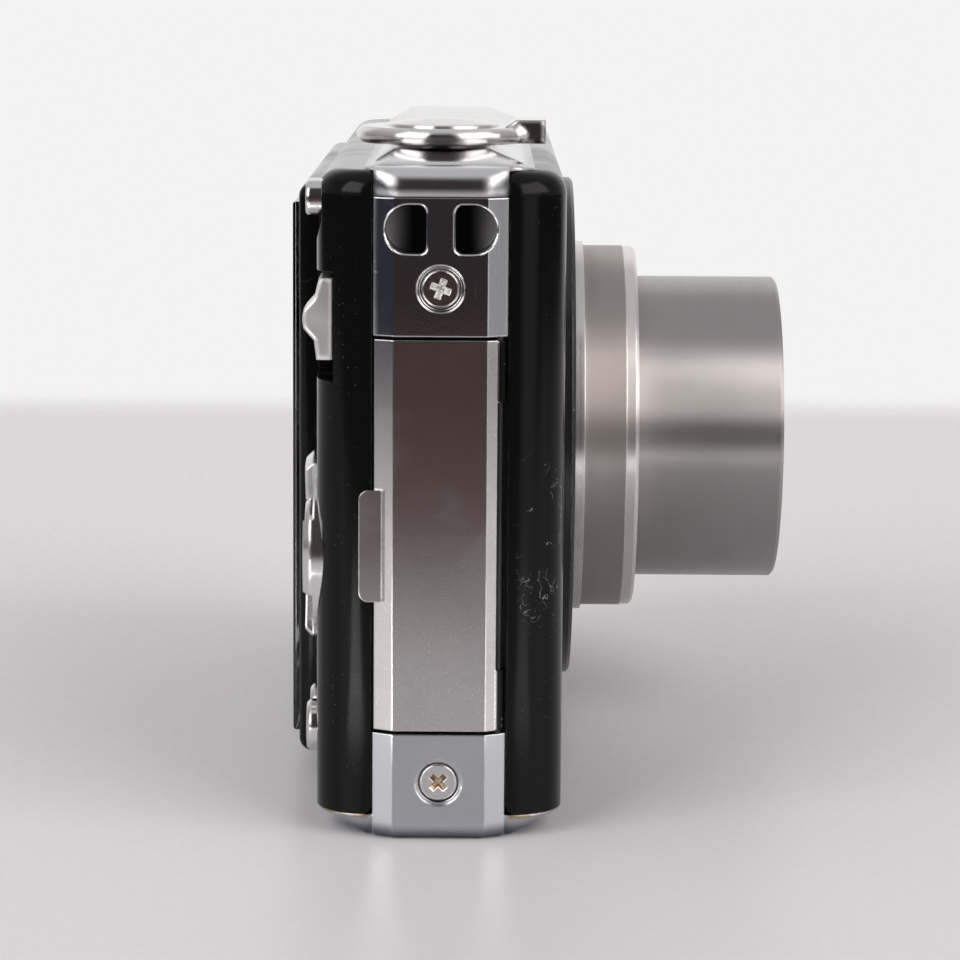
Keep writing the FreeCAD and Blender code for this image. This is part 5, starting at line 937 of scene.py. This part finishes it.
HEAD_RADIUS = 1.6 * MM
HEAD_TOP_RADIUS = 1.44 * MM
HEAD_THICK = 0.7 * MM
SHANK_RADIUS = 0.85 * MM
SHANK_END = 3.4 * MM
HEAD_FACE = 46.15 * MM
RECESS_LONG = 0.84 * MM
RECESS_WIDE = 0.25 * MM
RECESS_DEPTH = 0.5 * MM
RECESS_TAPER = 0.45
HEAD_BEVEL = 0.14 * MM
SHANK_TIP = 0.15 * MM
UPPER_LEVEL = 46.0 * MM
LOWER_LEVEL = 4.95 * MM
SCREWS = (
    (-1, UPPER_LEVEL, -20),
    (-1, LOWER_LEVEL, 45),
    (1, UPPER_LEVEL, 10),
    (1, LOWER_LEVEL, 60),
)
SUNK_FROM = (46.0 * MM, 46.1 * MM)
BRASS_AND_SHADE_UP_TO = (10 * MM, 20 * MM)


def cross_loop(shape, long, wide, height):
    """Twelve corners of a cross in a plane across the screw's axis."""
    corners = []
    for quarter in range(4):
        angle = math.radians(90 * quarter)
        for x, y in ((long, -wide), (long, wide), (wide, wide)):
            turned_x = x * math.cos(angle) - y * math.sin(angle)
            turned_y = x * math.sin(angle) + y * math.cos(angle)
            corners.append(shape.verts.new((turned_x, turned_y, height)))
    return [shape.edges.new((corners[k], corners[(k + 1) % 12])) for k in range(12)]


shape = bmesh.new()
for side, level, twist in SCREWS:
    made = bmesh.new()
    crossing = cross_loop(made, RECESS_LONG, RECESS_WIDE, 0)
    rim = bmesh.ops.create_circle(made, segments=36, radius=HEAD_TOP_RADIUS)["verts"]
    rim_edges = list({edge for vert in rim for edge in vert.link_edges})
    bmesh.ops.bridge_loops(made, edges=crossing + rim_edges)
    inner = bmesh.ops.extrude_edge_only(made, edges=crossing)["geom"]
    inner_verts = [item for item in inner if isinstance(item, bmesh.types.BMVert)]
    bmesh.ops.scale(made, vec=(RECESS_TAPER, RECESS_TAPER, 1), verts=inner_verts)
    bmesh.ops.translate(made, vec=(0, 0, -RECESS_DEPTH), verts=inner_verts)
    bmesh.ops.contextual_create(made, geom=inner_verts)
    for radius, depth in (
        (HEAD_RADIUS, HEAD_BEVEL),
        (HEAD_RADIUS, HEAD_THICK),
        (SHANK_RADIUS, HEAD_THICK),
        (SHANK_RADIUS, SHANK_END - SHANK_TIP),
    ):
        grown = bmesh.ops.extrude_edge_only(made, edges=rim_edges)["geom"]
        rim = [item for item in grown if isinstance(item, bmesh.types.BMVert)]
        rim_edges = [item for item in grown if isinstance(item, bmesh.types.BMEdge)]
        for vert in rim:
            vert.co = vert.co.xy.normalized().to_3d() * radius + Vector((0, 0, -depth))
    bmesh.ops.contextual_create(made, geom=rim)
    bmesh.ops.rotate(made, matrix=Matrix.Rotation(math.radians(twist), 3, "Z"), verts=made.verts)
    bmesh.ops.rotate(made, matrix=Matrix.Rotation(side * math.pi / 2, 3, "Y"), verts=made.verts)
    bmesh.ops.translate(made, vec=(side * HEAD_FACE, 0, level), verts=made.verts)
    loose = bpy.data.meshes.new("screw")
    made.to_mesh(loose)
    made.free()
    shape.from_mesh(loose)
    bpy.data.meshes.remove(loose)
screws = new_mesh_piece("cross_head_screws", shape)
screws.data.shade_smooth()
screws.data.set_sharp_from_angle(angle=math.radians(25))

screw_steel, tree, shader, place = start_finish("screw_steel", Metallic=1.0)
wear = use_group(tree, edge_wear, Place=place, Width=0.12 * MM, Patches=1400.0)
grain = use_group(tree, satin_grain, Place=place, Scale=5200.0)
spread = add_node(tree, "ShaderNodeSeparateXYZ", {0: place}).outputs
# In the cross recess and round the edge of the head the tone is painted: on the upper screws
# brighter than the head, a painted highlight; on the lower ones darker and golden, painted shade
# together with plating worn through to brass.
sunk = step(tree, reckon(tree, "ABSOLUTE", spread["X"]), *SUNK_FROM, 1.0, 0.0)
lower_brass_and_shade = step(tree, spread["Z"], *BRASS_AND_SHADE_UP_TO, 1.0, 0.0)
recess_highlight_and_shade = blend(tree, lower_brass_and_shade, (0.86, 0.85, 0.83, 1), (0.50, 0.40, 0.31, 1))
tone = blend(tree, grain["Smudge"], (0.64, 0.635, 0.64, 1), (0.58, 0.57, 0.57, 1))
tone = blend(tree, wear["Mask"], tone, (0.90, 0.88, 0.86, 1))
tree.links.new(blend(tree, sunk, tone, recess_highlight_and_shade), shader["Base Color"])
rough = step(tree, grain["Height"], 0.3, 0.7, 0.08, 0.16)
rough = reckon(tree, "ADD", rough, reckon(tree, "MULTIPLY", sunk, 0.25))
tree.links.new(rough, shader["Roughness"])
tree.links.new(emboss(tree, grain["Height"], 0.012 * MM, wear["Normal"]), shader["Normal"])
screws.data.materials.append(screw_steel)
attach(screws, "camera_body")
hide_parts("end_screws")

# Terminal door: pressed metal with a finger tab on its rear edge and hinge knuckles
# at its front edge, painted near black as black plastic and as painted shade of the
# hinge gap. Its satin coat has a fine sparkle, a few long scratches and dull finger
# marks.

DOOR_SILVER = (0.56, 0.54, 0.54, 1)
DOOR_SHADE = (0.535, 0.52, 0.522, 1)
DOOR_SPARKLE = (0.86, 0.84, 0.83, 1)
DOOR_RUBBED = (0.50, 0.49, 0.49, 1)
DOOR_EDGE = (0.80, 0.79, 0.79, 1)
DOOR_SCRATCH = (0.84, 0.83, 0.82, 1)
KNUCKLE_SIDE = (-4.90 * MM, -4.75 * MM)

door_silver, tree, shader, place = start_finish("door_silver", Metallic=1.0)
grain = use_group(tree, satin_grain, Place=place, Scale=9000.0)
wear = use_group(tree, edge_wear, Place=place, Width=0.15 * MM, Patches=900.0)
scratch = use_group(tree, scratches, Place=place, Scale=130.0, Width=0.012 * MM, Share=0.55)
rubbed = step(tree, clouds(tree, place, 90.0, 5.0, 0.6), 0.48, 0.66)
tone = blend(tree, grain["Smudge"], DOOR_SILVER, DOOR_SHADE)
tone = blend(tree, step(tree, grain["Height"], 0.60, 0.72), tone, DOOR_SPARKLE)
tone = blend(tree, reckon(tree, "MULTIPLY", rubbed, 0.3), tone, DOOR_RUBBED)
tone = blend(tree, wear["Mask"], tone, DOOR_EDGE)
tone = blend(tree, reckon(tree, "MULTIPLY", scratch["Mask"], 0.5), tone, DOOR_SCRATCH)
spread = add_node(tree, "ShaderNodeSeparateXYZ", {0: place}).outputs
# The hinge knuckles are painted near black, as black plastic and as painted shade of the gap they
# sit in, with specks of dust.
knuckle = step(tree, spread["Y"], *KNUCKLE_SIDE, 1.0, 0.0)
specks = use_group(tree, dust, Place=place, Scale=4200.0)["Mask"]
knuckle_black_and_shade = blend(tree, specks, (0.012, 0.012, 0.012, 1), (0.60, 0.60, 0.60, 1))
tree.links.new(blend(tree, knuckle, tone, knuckle_black_and_shade), shader["Base Color"])
tree.links.new(step(tree, rubbed, 0.0, 1.0, 0.16, 0.21), shader["Roughness"])
tree.links.new(emboss(tree, grain["Height"], PLATE_GRAIN, wear["Normal"]), shader["Normal"])
dress(door_silver, "terminal_door")
